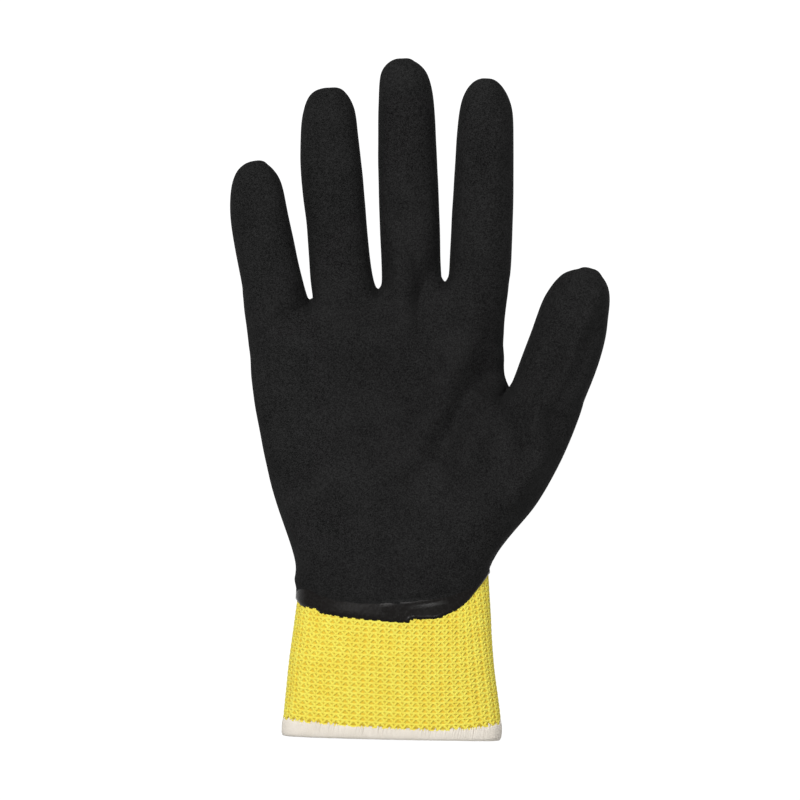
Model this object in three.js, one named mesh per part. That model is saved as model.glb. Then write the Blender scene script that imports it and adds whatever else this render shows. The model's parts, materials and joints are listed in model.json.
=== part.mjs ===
import * as THREE from 'three';

// A coated work glove for the right hand, lying on its back with the palm up.
// Millimetres: +X is the thumb's side, +Y the fingertips, +Z up out of the palm.
// One cage of named sections describes the outer face of the knitted liner. Every piece is a
// stretch of that cage between two offsets along the cage's normals, closed at its edges.

// Walls and clearances
const GAP = 0.3;
const KNIT_WALL = 1.2;
const COAT_WALL = 0.6;
const SMOOTH_FROM = GAP;
const SMOOTH_TO = SMOOTH_FROM + COAT_WALL;
const GRIP_FROM = SMOOTH_TO + GAP;
const GRIP_TO = GRIP_FROM + COAT_WALL;
const BUILD_UP = GRIP_TO;
const TWIN_REACH = 1.5 * GAP;

// Columns of the cage: four intervals to each finger and four to the thumb
const FINGER_COLUMNS = 4;
const SEAM_COLUMN = 4 * FINGER_COLUMNS;
const HAND_COLUMNS = SEAM_COLUMN + FINGER_COLUMNS;
const EDGE_INSET = 2.2;

// The bare knitted panel on the back: its first column, and its last below and above the
// thumb's fork
const PANEL_FIRST = 1;
const PANEL_LAST_LOW = SEAM_COLUMN - 1;
const PANEL_LAST_HIGH = SEAM_COLUMN - 2;

// Section shapes
const PALM_ROUNDNESS = 2.4;
const FINGER_ROUNDNESS = 2.3;
const FINGER_FLATNESS = 0.84;
const FINGER_RISE_POWER = 1.6;
const REST_PRESS = 1.4;
const THUMB_BACK_CLEARANCE = 1.4;
const THUMB_BACK_RISE = 0.5;

// The fork between two fingers: a rounded ridge with lower corners on the palm and the back.
// rise and spread place a ring above the ridge, blend is how much of its round section it has.
const FORK_DEPTH = 3.2;
const FORK_CORNER = 0.8;
const OUTER_CORNER = 0.55;
const OUTER_ROOT_INSET = 0.12;
const OUTER_SHARES = [0, 0.35, 0.7];

const table = (names, ...rows) => {
  const columns = names.split(' ');
  return rows.map((row) => Object.fromEntries(columns.map((name, i) => [name, row[i]])));
};

const forkRings = table('rise spread blend',
  [0.0, GAP / 2, 0],
  [0.8, 1.7, 0.35],
  [2.7, 2.8, 0.75],
);

// How far the lower edge of the coat hangs below a straight line across the wrist, and how
// far the top of its smooth band does, from the little finger's side to the thumb's side
const wristSag = table('share edge band',
  [0.00, 0.0, 0.0],
  [0.12, 5.5, 3.9],
  [0.32, 9.7, 6.4],
  [0.54, 13.4, 8.6],
  [0.72, 14.1, 8.8],
  [0.85, 11.2, 8.0],
  [0.94, 5.9, 5.0],
  [1.00, 0.0, 0.0],
);

// Rows of the cuff and the palm up to the thumb's fork. left and right are the photographed
// outline. seam is the line down from the thumb's fork on the palm, and backSeam on the back.
// edge and band are shares of the sags above, inset is how far the liner lies inside the
// outline, and mid, up and down are the section's middle height and half heights.
const handRows = table(
  'name left leftY seam backSeam seamY right rightY edge band inset mid up down',
  ['hem_end', -49.6, -122.4, 13.8, 13.8, -123.8, 29.6, -124.2, 0.08, 0, 0.0, 12.6, 13.4, 12.6],
  ['hem_top', -49.3, -116.8, 13.8, 13.8, -118.2, 30.0, -118.6, 0.20, 0, 0.0, 12.8, 13.4, 12.8],
  ['cuff', -47.2, -96.0, 12.7, 15.0, -95.2, 27.2, -95.0, 0.25, 0, 0.0, 13.8, 14.0, 13.8],
  ['coat_edge', -44.4, -73.8, 12.4, 17.0, -65.2, 25.8, -63.2, 1, 0, SMOOTH_TO, 14.4, 14.2, 14.4],
  ['band_top', -44.6, -69.4, 12.5, 17.5, -63.7, 25.9, -62.4, 0, 1, BUILD_UP, 14.5, 14.2, 14.5],
  ['heel', -45.1, -60.0, 15.2, 20.5, -58.3, 27.9, -57.9, 0, 0.8, BUILD_UP, 14.6, 14.2, 14.6],
  ['palm_1', -48.2, -49.0, 18.2, 23.5, -49.1, 34.3, -49.2, 0, 0.35, BUILD_UP, 14.6, 13.8, 14.6],
  ['palm_2', -52.3, -37.0, 21.8, 26.0, -37.5, 42.0, -39.9, 0, 0.1, BUILD_UP, 14.4, 13.2, 14.4],
  ['palm_3', -55.4, -25.0, 25.6, 28.5, -24.7, 48.8, -28.9, 0, 0, BUILD_UP, 14.1, 12.6, 14.1],
  ['palm_4', -58.0, -12.5, 29.4, 30.8, -12.2, 54.3, -17.8, 0, 0, BUILD_UP, 13.8, 12.0, 13.8],
  ['fork', -59.9, -1.4, 32.5, 32.5, -1.0, 57.8, -9.3, 0, 0, BUILD_UP, 13.4, 11.4, 13.4],
);

// Rows of the palm between the thumb's fork and the fingers. least is the back's least height.
const knuckleRows = table('name left leftY right rightY mid up down least',
  ['palm_5', -61.1, 7.5, 31.9, 7.5, 13.0, 10.8, 13.0, 0.0],
  ['knuckles', -61.7, 16.5, 31.0, 19.5, 12.6, 10.0, 12.0, 1.4],
  ['finger_pads', -62.7, 25.0, 31.6, 30.0, 12.1, 9.0, 10.4, 2.0],
);

// Soft mounds of the palm's face, and hollows where the height is below zero
const mounds = table('x y radius height',
  [34, -22, 22, 4.0],
  [-36, -36, 26, 2.0],
  [-6, -10, 24, -2.6],
  [29, -8, 9, -2.4],
  [-39, 30, 7, -1.8],
  [-15, 33, 7, -1.2],
  [9, 36, 7, -1.2],
  [-50, 28, 9, 0.8],
  [-27, 30, 9, 1.0],
  [-3, 32, 9, 1.0],
  [20, 31, 9, 1.0],
);

// The deepest point of each fork in the photographed outline
const thumbFork = { x: 32.7, y: 4.0 };
const littleRingFork = { x: -39.7, y: 36.5 };
const ringMiddleFork = { x: -14.8, y: 40.4 };
const middleIndexFork = { x: 9.7, y: 43.1 };

// A finger's line runs in plan from a point at its root to the tip of its outline. at is the
// distance along it, left and right are the outline's distances beside it. Where a finger has
// no fork on one side, root is the outline's point there. mid is the line's height at the
// root, lift its rise to the tip, and crest the sideways place of the pad's highest point.
const fingers = [
  {
    name: 'little_finger', from: [-52.0, 37.0], tip: [-59.6, 87.8], mid: 11.0, lift: 8,
    rightFork: littleRingFork, root: [-63.6, 32.0], crest: 0,
    rows: table('at left right',
      [7, 11.8, 10.3],
      [18, 12.2, 9.6],
      [30, 12.3, 8.9],
      [38, 11.3, 8.5],
      [44, 9.6, 7.4],
      [48.6, 6.8, 4.8],
    ),
  },
  {
    name: 'ring_finger', from: [-27.7, 40.0], tip: [-32.3, 114.3], mid: 11.3, lift: 11,
    leftFork: littleRingFork, rightFork: ringMiddleFork, crest: 0,
    rows: table('at left right',
      [7, 11.7, 11.0],
      [22, 11.6, 10.3],
      [40, 12.6, 10.0],
      [57, 11.9, 9.1],
      [66, 10.2, 8.3],
      [71.5, 7.5, 5.9],
    ),
  },
  {
    name: 'middle_finger', from: [-2.7, 43.0], tip: [-5.9, 125.0], mid: 11.4, lift: 12,
    leftFork: ringMiddleFork, rightFork: middleIndexFork, crest: 0,
    rows: table('at left right',
      [6, 10.6, 11.2],
      [32, 10.6, 11.3],
      [58, 9.8, 11.1],
      [69, 9.1, 10.4],
      [76, 8.2, 8.5],
      [80, 5.6, 5.0],
    ),
  },
  {
    name: 'index_finger', from: [21.8, 43.0], tip: [24.9, 117.7], mid: 11.3, lift: 10,
    leftFork: middleIndexFork, root: [32.6, 38.0], crest: 0,
    rows: table('at left right',
      [5, 10.7, 11.7],
      [22, 10.6, 11.9],
      [50, 10.1, 10.9],
      [62, 9.4, 10.0],
      [68, 8.1, 8.1],
      [72.2, 5.6, 5.3],
    ),
  },
];
const thumb = {
  name: 'thumb', from: [46.5, -1.5], tip: [63.5, 48.3], mid: 13.4, lift: 9,
  leftFork: thumbFork, root: [57.8, -9.3], crest: 0.3,
  rows: table('at left right',
    [7, 13.9, 13.2],
    [24, 13.5, 13.5],
    [35, 13.2, 11.8],
    [42, 11.6, 10.2],
    [47, 9.4, 7.9],
    [50.2, 5.7, 4.1],
  ),
};

// The overlocked hem's own section, round its wall: a share of the way from its end to its
// top, and an offset from the liner's face
const hemSection = table('share offset',
  [0.00, -0.5],
  [0.12, 0.35],
  [0.85, 0.35],
  [1.00, -0.2],
  [1.00, -1.2],
  [0.20, -1.6],
);

const plan = (x, y) => new THREE.Vector2(x, y);
const mix = (a, b, t) => a + (b - a) * t;
const bow = (u, roundness) => Math.max(0, 1 - Math.abs(u) ** roundness) ** (1 / roundness);

function readTable(rows, key, at, column) {
  const next = rows.findIndex((row) => row[key] >= at);
  if (next === 0) return rows[0][column];
  if (next < 0) return rows.at(-1)[column];
  const a = rows[next - 1];
  const b = rows[next];
  return mix(a[column], b[column], (at - a[key]) / (b[key] - a[key]));
}

// Moves each point of a line sideways by its own distance: to the right of the line's
// direction where side is 1, and to the left where it is -1
function insetLine(points, distances, side) {
  return points.map((point, i) => {
    const before = points[Math.max(i - 1, 0)];
    const after = points[Math.min(i + 1, points.length - 1)];
    const along = after.clone().sub(before).normalize();
    return plan(along.y, -along.x).multiplyScalar(side * distances[i]).add(point);
  });
}

const trianglesOf = ([a, b, c, d]) => (d === undefined ? [[a, b, c]] : [[a, b, c], [a, c, d]]);
const edgesOf = (corners) => corners.map((a, i) => [a, corners[(i + 1) % corners.length]]);

// The cage's points and faces. A ring is one section: the number of its left point, those of
// its palm from left to right, its right point, and those of its back from left to right.
// Each face knows the knitted piece that it belongs to, and the coats that lie over it.
class Cage {
  points = [];

  faces = [];

  point(place, z) {
    return this.points.push(new THREE.Vector3(place.x, place.y, z)) - 1;
  }

  face(corners, knit, coats, backColumn = null) {
    this.faces.push({ corners, knit, ...coats(backColumn) });
  }

  // Joins the stretch of lower that starts at column first to the whole of upper
  faceRows(lower, upper, first, knit, coats) {
    for (let c = 0; c < upper.palm.length - 1; c++) {
      const at = first + c;
      this.face([lower.palm[at], lower.palm[at + 1], upper.palm[c + 1], upper.palm[c]],
        knit, coats);
      this.face([lower.back[at + 1], lower.back[at], upper.back[c], upper.back[c + 1]],
        knit, coats, at);
    }
  }

  leftEdge(lower, upper, knit, coats) {
    this.face([lower.left, lower.palm[0], upper.palm[0], upper.left], knit, coats);
    this.face([lower.back[0], lower.left, upper.left, upper.back[0]], knit, coats);
  }

  rightEdge(lower, upper, knit, coats) {
    this.face([lower.palm.at(-1), lower.right, upper.right, upper.palm.at(-1)], knit, coats);
    this.face([lower.right, lower.back.at(-1), upper.back.at(-1), upper.right], knit, coats);
  }

  bridge(lower, upper, knit, coats) {
    this.faceRows(lower, upper, 0, knit, coats);
    this.leftEdge(lower, upper, knit, coats);
    this.rightEdge(lower, upper, knit, coats);
  }

  // Joins one ring to narrower rings that stand side by side on it. Each branch has a ring
  // and the name of the knitted piece that its strip belongs to.
  fork(lower, branches, coats) {
    let column = 0;
    branches.forEach(({ ring, knit }, b) => {
      this.faceRows(lower, ring, column, knit, coats);
      column += ring.palm.length - 1;
      if (b === branches.length - 1) return;
      const next = branches[b + 1].ring;
      this.face([lower.palm[column], next.palm[0], ring.palm.at(-1)], null, coats);
      this.face([ring.palm.at(-1), next.palm[0], next.left, ring.right], null, coats);
      this.face([ring.right, next.left, next.back[0], ring.back.at(-1)], null, coats);
      this.face([ring.back.at(-1), next.back[0], lower.back[column]], null, coats, column);
    });
    this.leftEdge(lower, branches[0].ring, branches[0].knit, coats);
    this.rightEdge(lower, branches.at(-1).ring, branches.at(-1).knit, coats);
  }

  cap(ring, tip, knit, coats) {
    for (let c = 0; c < ring.palm.length - 1; c++) {
      this.face([ring.palm[c], ring.palm[c + 1], tip], knit, coats);
      this.face([ring.back[c + 1], ring.back[c], tip], knit, coats, c);
    }
    this.face([ring.left, ring.palm[0], tip], knit, coats);
    this.face([ring.back[0], ring.left, tip], knit, coats);
    this.face([ring.palm.at(-1), ring.right, tip], knit, coats);
    this.face([ring.right, ring.back.at(-1), tip], knit, coats);
  }

  // One normal for each point. The points on the two sides of a gap share theirs, so that the
  // walls beside it stay parallel.
  normals() {
    const sums = this.points.map(() => new THREE.Vector3());
    const groups = this.points.map((_, i) => [i]);
    for (const { corners } of this.faces) {
      for (const [a, b, c] of trianglesOf(corners)) {
        const one = this.points[b].clone().sub(this.points[a]);
        const two = this.points[c].clone().sub(this.points[a]);
        const normal = one.cross(two);
        [a, b, c].forEach((corner) => sums[corner].add(normal));
      }
      for (const [a, b] of edgesOf(corners)) {
        const near = this.points[a].distanceTo(this.points[b]) < TWIN_REACH;
        if (near && groups[a] !== groups[b]) {
          const joined = [...groups[a], ...groups[b]];
          joined.forEach((i) => { groups[i] = joined; });
        }
      }
    }
    return groups.map((group) => (
      group.reduce((sum, i) => sum.add(sums[i]), new THREE.Vector3()).normalize()
    ));
  }
}

function palmMound({ x, y }) {
  const lift = (mound) => (
    mound.height * Math.exp(-((x - mound.x) ** 2 + (y - mound.y) ** 2) / mound.radius ** 2)
  );
  return mounds.reduce((sum, mound) => sum + lift(mound), 0);
}

// A ring across the cuff or the palm. place gives each column's place in plan on one side,
// and least the least height of each column of the back.
function handRing(cage, row, left, right, columns, place, least) {
  const middle = (left.x + right.x) / 2;
  const half = (right.x - left.x) / 2;
  const ring = { left: cage.point(left, row.mid), right: cage.point(right, row.mid) };
  const places = (side) => Array.from({ length: columns + 1 }, (_, c) => place(c, side));
  const bowAt = (spot) => bow((spot.x - middle) / half, PALM_ROUNDNESS);
  ring.palm = places('palm').map((spot) => (
    cage.point(spot, row.mid + (row.up + palmMound(spot)) * bowAt(spot))
  ));
  ring.back = places('back').map((spot, c) => (
    cage.point(spot, Math.max(least(c), row.mid - (row.down + REST_PRESS) * bowAt(spot)))
  ));
  return ring;
}

const insets = handRows.map((row) => row.inset);
const handLefts = insetLine(handRows.map((row) => plan(row.left, row.leftY)), insets, 1);
const handRights = insetLine(handRows.map((row) => plan(row.right, row.rightY)), insets, -1);
const firstCoatedRow = handRows.findIndex((row) => row.name === 'coat_edge');

// A ring of the cuff or of the palm up to the thumb's fork, moved up the hand by step
function lowerRing(cage, name, step = 0) {
  const i = handRows.findIndex((row) => row.name === name);
  const row = handRows[i];
  const left = handLefts[i].clone().add(plan(0, step));
  const right = handRights[i].clone().add(plan(0, step));
  const place = (c, side) => {
    const seam = plan(side === 'palm' ? row.seam : row.backSeam, row.seamY + step);
    const spot = c <= SEAM_COLUMN
      ? plan(left.x + EDGE_INSET, left.y).lerp(seam, c / SEAM_COLUMN)
      : seam.lerp(plan(right.x - EDGE_INSET, right.y), (c - SEAM_COLUMN) / FINGER_COLUMNS);
    if (side === 'back') return spot;
    const share = (spot.x - left.x) / (right.x - left.x);
    spot.y -= row.edge * readTable(wristSag, 'share', share, 'edge');
    spot.y -= row.band * readTable(wristSag, 'share', share, 'band');
    return spot;
  };
  const least = (c) => {
    if (i < firstCoatedRow || c <= PANEL_LAST_HIGH) return 0;
    return THUMB_BACK_CLEARANCE + THUMB_BACK_RISE * (c - PANEL_LAST_HIGH - 1);
  };
  return handRing(cage, row, left, right, HAND_COLUMNS, place, least);
}

// A ring of the palm between the thumb's fork and the fingers
function upperRing(cage, row) {
  const left = plan(row.left + BUILD_UP, row.leftY);
  const right = plan(row.right - BUILD_UP, row.rightY);
  const first = left.clone().add(plan(EDGE_INSET, 0));
  const last = right.clone().sub(plan(EDGE_INSET, 0));
  const place = (c) => first.clone().lerp(last, c / SEAM_COLUMN);
  return handRing(cage, row, left, right, SEAM_COLUMN, place, () => row.least);
}

// Splits the ring at the thumb's fork into the hand's own ring and the thumb's
function splitAtThumb(cage, ring) {
  const ridge = plan(thumbFork.x, thumbFork.y - BUILD_UP);
  const shift = plan(GAP / 2, 0);
  const height = cage.points[ring.left].z;
  const moved = (index, by) => {
    const { x, y, z } = cage.points[index];
    return cage.point(plan(x + by, y), z);
  };
  const hand = {
    left: ring.left,
    palm: [...ring.palm.slice(0, SEAM_COLUMN), moved(ring.palm[SEAM_COLUMN], -shift.x)],
    right: cage.point(ridge.clone().sub(shift), height),
    back: [...ring.back.slice(0, SEAM_COLUMN), moved(ring.back[SEAM_COLUMN], -shift.x)],
  };
  const thumbRoot = {
    left: cage.point(ridge.clone().add(shift), height),
    palm: [moved(ring.palm[SEAM_COLUMN], shift.x), ...ring.palm.slice(SEAM_COLUMN + 1)],
    right: ring.right,
    back: [moved(ring.back[SEAM_COLUMN], shift.x), ...ring.back.slice(SEAM_COLUMN + 1)],
  };
  return { hand, thumbRoot };
}

// The share across a finger and the height of one of the points of its pad or its back
function roundPoint(k, crest) {
  const angle = Math.PI * (FINGER_COLUMNS + 1 - k) / (FINGER_COLUMNS + 2);
  const cos = Math.cos(angle);
  const x = Math.sign(cos) * Math.abs(cos) ** (2 / FINGER_ROUNDNESS);
  return { x: x + crest * (1 - x * x), height: Math.sin(angle) ** (2 / FINGER_ROUNDNESS) };
}

// One ring of a finger between its two side points. blend is 0 at the forks and 1 where the
// finger has its own round section. leftForked and rightForked are 1 beside a fork, else 0.
// base is the ring that the finger grows from, where there is one.
function fingerRing(cage, section, base) {
  const { left, right, half, height, blend, crest, leftForked, rightForked } = section;
  const ring = { left: cage.point(left, height), right: cage.point(right, height) };
  const side = (name, up, sideCrest) => Array.from({ length: FINGER_COLUMNS + 1 }, (_, k) => {
    const share = k / FINGER_COLUMNS;
    const u = share * 2 - 1;
    const forked = u < 0 ? leftForked : rightForked;
    const own = roundPoint(k, sideCrest);
    const corner = mix(OUTER_CORNER, FORK_CORNER, forked);
    const rootZ = base === undefined
      ? height + up * half * mix(1, corner, u * u)
      : cage.points[base[name][k]].z;
    const x = mix(u * (1 - OUTER_ROOT_INSET * (1 - forked)), own.x, blend);
    const z = mix(rootZ, height + up * half * own.height, blend);
    const drop = FORK_DEPTH * (1 - blend) * mix(leftForked, rightForked, share);
    return cage.point(left.clone().lerp(right, (x + 1) / 2).sub(plan(0, drop)), z);
  });
  ring.palm = side('palm', 1, crest);
  ring.back = side('back', -1, 0);
  return ring;
}

// The rings of a finger from its forks to its tip, and the number of its tip's point
function fingerRings(cage, finger, base) {
  const from = plan(...finger.from);
  const tip = plan(...finger.tip);
  const along = tip.clone().sub(from).normalize();
  const across = plan(along.y, -along.x);
  const length = from.distanceTo(tip);
  const sideLine = (key, sign) => {
    const spots = finger.rows.map((row) => (
      from.clone().addScaledVector(along, row.at).addScaledVector(across, sign * row[key])
    ));
    spots.push(tip.clone());
    const line = insetLine(spots, spots.map(() => BUILD_UP), -sign);
    const fork = sign < 0 ? finger.leftFork : finger.rightFork;
    const root = plan(finger.root?.[0] - sign * BUILD_UP, finger.root?.[1]);
    const start = forkRings.map(({ rise, spread }, i) => (
      fork === undefined
        ? root.clone().lerp(line[0], OUTER_SHARES[i])
        : plan(fork.x - sign * spread, fork.y - BUILD_UP + rise)
    ));
    return [...start, ...line];
  };
  const lefts = sideLine('left', -1);
  const rights = sideLine('right', 1);
  const firstRound = forkRings.length;
  const rootWidth = lefts[firstRound].distanceTo(rights[firstRound]);
  const rings = lefts.slice(0, -1).map((left, i) => {
    const right = rights[i];
    const width = i < firstRound ? rootWidth : left.distanceTo(right);
    const run = left.clone().add(right).multiplyScalar(0.5).sub(from).dot(along) / length;
    return fingerRing(cage, {
      left,
      right,
      half: FINGER_FLATNESS * width / 2,
      height: finger.mid + finger.lift * Math.max(0, run) ** FINGER_RISE_POWER,
      blend: forkRings[i]?.blend ?? 1,
      crest: finger.crest,
      leftForked: finger.leftFork === undefined ? 0 : 1,
      rightForked: finger.rightFork === undefined ? 0 : 1,
    }, base);
  });
  return { rings, tip: cage.point(lefts.at(-1), finger.mid + finger.lift) };
}

// A ring of the palm just below the roots of the fingers
function ringUnderFingers(cage, roots) {
  const below = (index) => cage.points[index].clone().sub(new THREE.Vector3(0, GAP, 0));
  const store = (spot) => cage.point(spot, spot.z);
  const row = (side) => roots.flatMap((root, f) => {
    const spots = root[side].map(below);
    if (f > 0) spots.shift();
    if (f < roots.length - 1) spots.at(-1).lerp(below(roots[f + 1][side][0]), 0.5);
    return spots.map(store);
  });
  return {
    left: store(below(roots[0].left)),
    palm: row('palm'),
    right: store(below(roots.at(-1).right)),
    back: row('back'),
  };
}

// Which coats lie over a face: a rule for each stretch of the hand, by the column of the back
const bare = () => ({ smooth: false, grip: false });
const panelTo = (last, grip) => (column) => ({
  smooth: column === null || column < PANEL_FIRST || column > last,
  grip: grip && column === null,
});
const coated = (column) => ({ smooth: true, grip: column === null });

function buildCage() {
  const cage = new Cage();
  const low = panelTo(PANEL_LAST_LOW, true);
  const high = panelTo(PANEL_LAST_HIGH, true);
  const strips = [
    ['hem_top', GAP, 'cuff_knit', bare],
    ['cuff', 0, 'cuff_knit', bare],
    ['coat_edge', 0, 'cuff_knit', panelTo(PANEL_LAST_LOW, false)],
    ['band_top', 0, null, low],
    ['band_top', GAP, 'palm_knit', low],
    ['heel', 0, 'palm_knit', low],
    ['palm_1', 0, 'palm_knit', low],
    ['palm_2', 0, 'palm_knit', low],
    ['palm_3', 0, 'palm_knit', low],
    ['palm_4', 0, 'palm_knit', low],
    ['fork', -GAP, null, low],
  ];
  const rings = strips.map(([name, step]) => lowerRing(cage, name, step));
  strips.slice(0, -1).forEach(([, , knit, coats], i) => {
    cage.bridge(rings[i], rings[i + 1], knit, coats);
  });
  const { hand, thumbRoot } = splitAtThumb(cage, lowerRing(cage, 'fork'));
  const branches = [{ ring: hand, knit: 'palm_knit' }, { ring: thumbRoot, knit: null }];
  cage.fork(rings.at(-1), branches, low);

  const { rings: thumbRings, tip: thumbTip } = fingerRings(cage, thumb, thumbRoot);
  const thumbStack = [thumbRoot, ...thumbRings.slice(1)];
  addStall(cage, thumbStack, thumbTip, 'thumb_knit');

  const stalls = fingers.map((finger) => fingerRings(cage, finger));
  const roots = stalls.map((stall) => stall.rings[0]);
  const uppers = knuckleRows.map((row) => upperRing(cage, row));
  const upperStack = [hand, ...uppers, ringUnderFingers(cage, roots)];
  const knuckles = 1 + knuckleRows.findIndex((row) => row.name === 'knuckles');
  upperStack.slice(0, -1).forEach((ring, i) => {
    cage.bridge(ring, upperStack[i + 1], 'palm_knit', i < knuckles ? high : coated);
  });
  cage.fork(upperStack.at(-1), roots.map((ring) => ({ ring, knit: null })), coated);
  stalls.forEach((stall, f) => {
    addStall(cage, stall.rings, stall.tip, `${fingers[f].name}_knit`);
  });
  return cage;
}

function addStall(cage, rings, tip, knit) {
  rings.slice(0, -1).forEach((ring, i) => cage.bridge(ring, rings[i + 1], knit, coated));
  cage.cap(rings.at(-1), tip, knit, coated);
}

function solidFrom(vertices, triangles) {
  const geometry = new THREE.BufferGeometry();
  const flat = vertices.flatMap((vertex) => vertex.toArray());
  geometry.setAttribute('position', new THREE.Float32BufferAttribute(flat, 3));
  geometry.setIndex(triangles.flat());
  geometry.computeVertexNormals();
  return geometry;
}

// The closed wall over the chosen faces, between two offsets from the liner's face
function wall(cage, normals, outer, inner, chosen) {
  const faces = cage.faces.filter(chosen);
  const vertices = [];
  const numbers = new Map();
  const number = (index, offset) => {
    const key = `${index} ${offset}`;
    if (!numbers.has(key)) {
      const spot = cage.points[index].clone().addScaledVector(normals[index], offset);
      numbers.set(key, vertices.push(spot) - 1);
    }
    return numbers.get(key);
  };
  const edges = new Set();
  faces.forEach(({ corners }) => edgesOf(corners).forEach((edge) => edges.add(edge.join(' '))));
  const triangles = [];
  for (const { corners } of faces) {
    for (const [a, b, c] of trianglesOf(corners)) {
      triangles.push([number(a, outer), number(b, outer), number(c, outer)]);
      triangles.push([number(c, inner), number(b, inner), number(a, inner)]);
    }
    for (const [a, b] of edgesOf(corners).filter(([p, q]) => !edges.has(`${q} ${p}`))) {
      triangles.push([number(b, outer), number(a, outer), number(a, inner)]);
      triangles.push([number(b, outer), number(a, inner), number(b, inner)]);
    }
  }
  return solidFrom(vertices, triangles);
}

// The hem's ring, from its end to its top
function hem() {
  const cage = new Cage();
  const rings = ['hem_end', 'hem_top'].map((name) => lowerRing(cage, name));
  cage.bridge(rings[0], rings[1], null, bare);
  const normals = cage.normals();
  const loopOf = (ring) => [ring.left, ...ring.palm, ring.right, ...ring.back.toReversed()];
  const [ends, tops] = rings.map(loopOf);
  const vertices = hemSection.flatMap(({ share, offset }) => ends.map((end, i) => {
    const normal = normals[end].clone().lerp(normals[tops[i]], share).normalize();
    const spot = cage.points[end].clone().lerp(cage.points[tops[i]], share);
    spot.addScaledVector(normal, offset);
    spot.z = Math.max(0, spot.z);
    return spot;
  }));
  const count = ends.length;
  const triangles = hemSection.flatMap((_, row) => ends.flatMap((__, i) => {
    const next = (i + 1) % count;
    const up = (row + 1) % hemSection.length;
    const corners = [row * count + i, row * count + next, up * count + next, up * count + i];
    return trianglesOf(corners);
  }));
  return solidFrom(vertices, triangles);
}

const yellowYarn = { color: 0xe9d33f, roughness: 0.9, metalness: 0 };
const smoothRubber = { color: 0x1c1c1d, roughness: 0.45, metalness: 0 };
const sandyRubber = { color: 0x161617, roughness: 0.85, metalness: 0 };
const whiteThread = { color: 0xe4ddcb, roughness: 0.9, metalness: 0 };

function addPiece(group, name, geometry, look) {
  const mesh = new THREE.Mesh(geometry, new THREE.MeshStandardMaterial(look));
  mesh.name = name;
  group.add(mesh);
}

function buildGlove() {
  const glove = new THREE.Group();
  const cage = buildCage();
  const normals = cage.normals();
  const stalls = [...fingers, thumb].map(({ name }) => `${name}_knit`);
  for (const name of ['cuff_knit', 'palm_knit', ...stalls]) {
    const knit = wall(cage, normals, 0, -KNIT_WALL, (face) => face.knit === name);
    addPiece(glove, name, knit, yellowYarn);
  }
  const smooth = wall(cage, normals, SMOOTH_TO, SMOOTH_FROM, (face) => face.smooth);
  addPiece(glove, 'smooth_coat', smooth, smoothRubber);
  const grip = wall(cage, normals, GRIP_TO, GRIP_FROM, (face) => face.grip);
  addPiece(glove, 'grip_coat', grip, sandyRubber);
  addPiece(glove, 'cuff_hem', hem(), whiteThread);
  return glove;
}

export default buildGlove();
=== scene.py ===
"""A knitted high-visibility work glove with a dipped rubber palm, lying on its back.

The glove's form is one cage of named sections, the same that the frame's solids have, smoothed
into one surface. Every piece is made on that surface: the knit as loops of yarn over a thin
ground, the two rubber coats as films, and the overlocked hem as threads wound over the cuff's
end. Tables of the hand are in millimetres, and every Blender object is in metres.
"""

import json
import logging
import math
from dataclasses import astuple, dataclass, field
from enum import Enum
from typing import Callable, Iterable, Optional, Self, Sequence

import bpy
import numpy as np
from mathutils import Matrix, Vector, noise
from mathutils.bvhtree import BVHTree
from mathutils.kdtree import KDTree

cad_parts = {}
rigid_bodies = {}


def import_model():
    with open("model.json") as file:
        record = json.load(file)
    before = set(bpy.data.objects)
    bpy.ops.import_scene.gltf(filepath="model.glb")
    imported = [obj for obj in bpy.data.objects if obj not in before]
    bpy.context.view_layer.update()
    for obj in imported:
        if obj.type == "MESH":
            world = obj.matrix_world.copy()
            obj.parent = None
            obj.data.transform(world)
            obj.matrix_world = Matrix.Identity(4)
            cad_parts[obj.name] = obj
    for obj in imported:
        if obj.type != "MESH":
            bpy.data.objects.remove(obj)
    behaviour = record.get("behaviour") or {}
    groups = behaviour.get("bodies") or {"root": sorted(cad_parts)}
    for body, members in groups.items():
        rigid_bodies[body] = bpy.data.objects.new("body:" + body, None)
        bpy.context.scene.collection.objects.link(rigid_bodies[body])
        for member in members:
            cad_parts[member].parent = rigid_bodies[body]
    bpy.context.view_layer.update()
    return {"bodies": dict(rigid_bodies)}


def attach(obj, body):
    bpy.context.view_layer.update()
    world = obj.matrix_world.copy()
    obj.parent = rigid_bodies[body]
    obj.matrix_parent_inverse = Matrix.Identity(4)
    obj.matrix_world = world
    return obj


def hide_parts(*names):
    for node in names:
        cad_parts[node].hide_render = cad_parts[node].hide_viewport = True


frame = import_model()

LOG = logging.getLogger("coated_glove")

MM = 0.001
BODY = next(iter(frame["bodies"]))

# The height in millimetres below which the cloth is softly pressed flat on the floor
PRESSED = 0.35

Points = np.ndarray


class Slot(Enum):
    """The material slots of the record that the pieces' finishes belong to."""

    YELLOW_KNIT = "yellow_knit"
    SMOOTH_RUBBER = "smooth_rubber"
    SANDY_RUBBER = "sandy_rubber"
    WHITE_THREAD = "white_thread"


class Part(Enum):
    """The knitted pieces of the liner, by the name of the solid that each stands for."""

    HEM = "cuff_hem"
    CUFF = "cuff_knit"
    PALM = "palm_knit"
    LITTLE = "little_finger_knit"
    RING = "ring_finger_knit"
    MIDDLE = "middle_finger_knit"
    INDEX = "index_finger_knit"
    THUMB = "thumb_knit"


PARTS = list(Part)
STALLS = (Part.LITTLE, Part.RING, Part.MIDDLE, Part.INDEX, Part.THUMB)


# The hand's sizes


@dataclass(frozen=True)
class Row:
    """A section across the hand, as a row of numbers."""

    def towards(self, other: Self, share: float) -> Self:
        """The section that lies share of the way from this one to the other."""
        pairs = zip(astuple(self), astuple(other))
        return type(self)(*(a + (b - a) * share for a, b in pairs))


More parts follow.
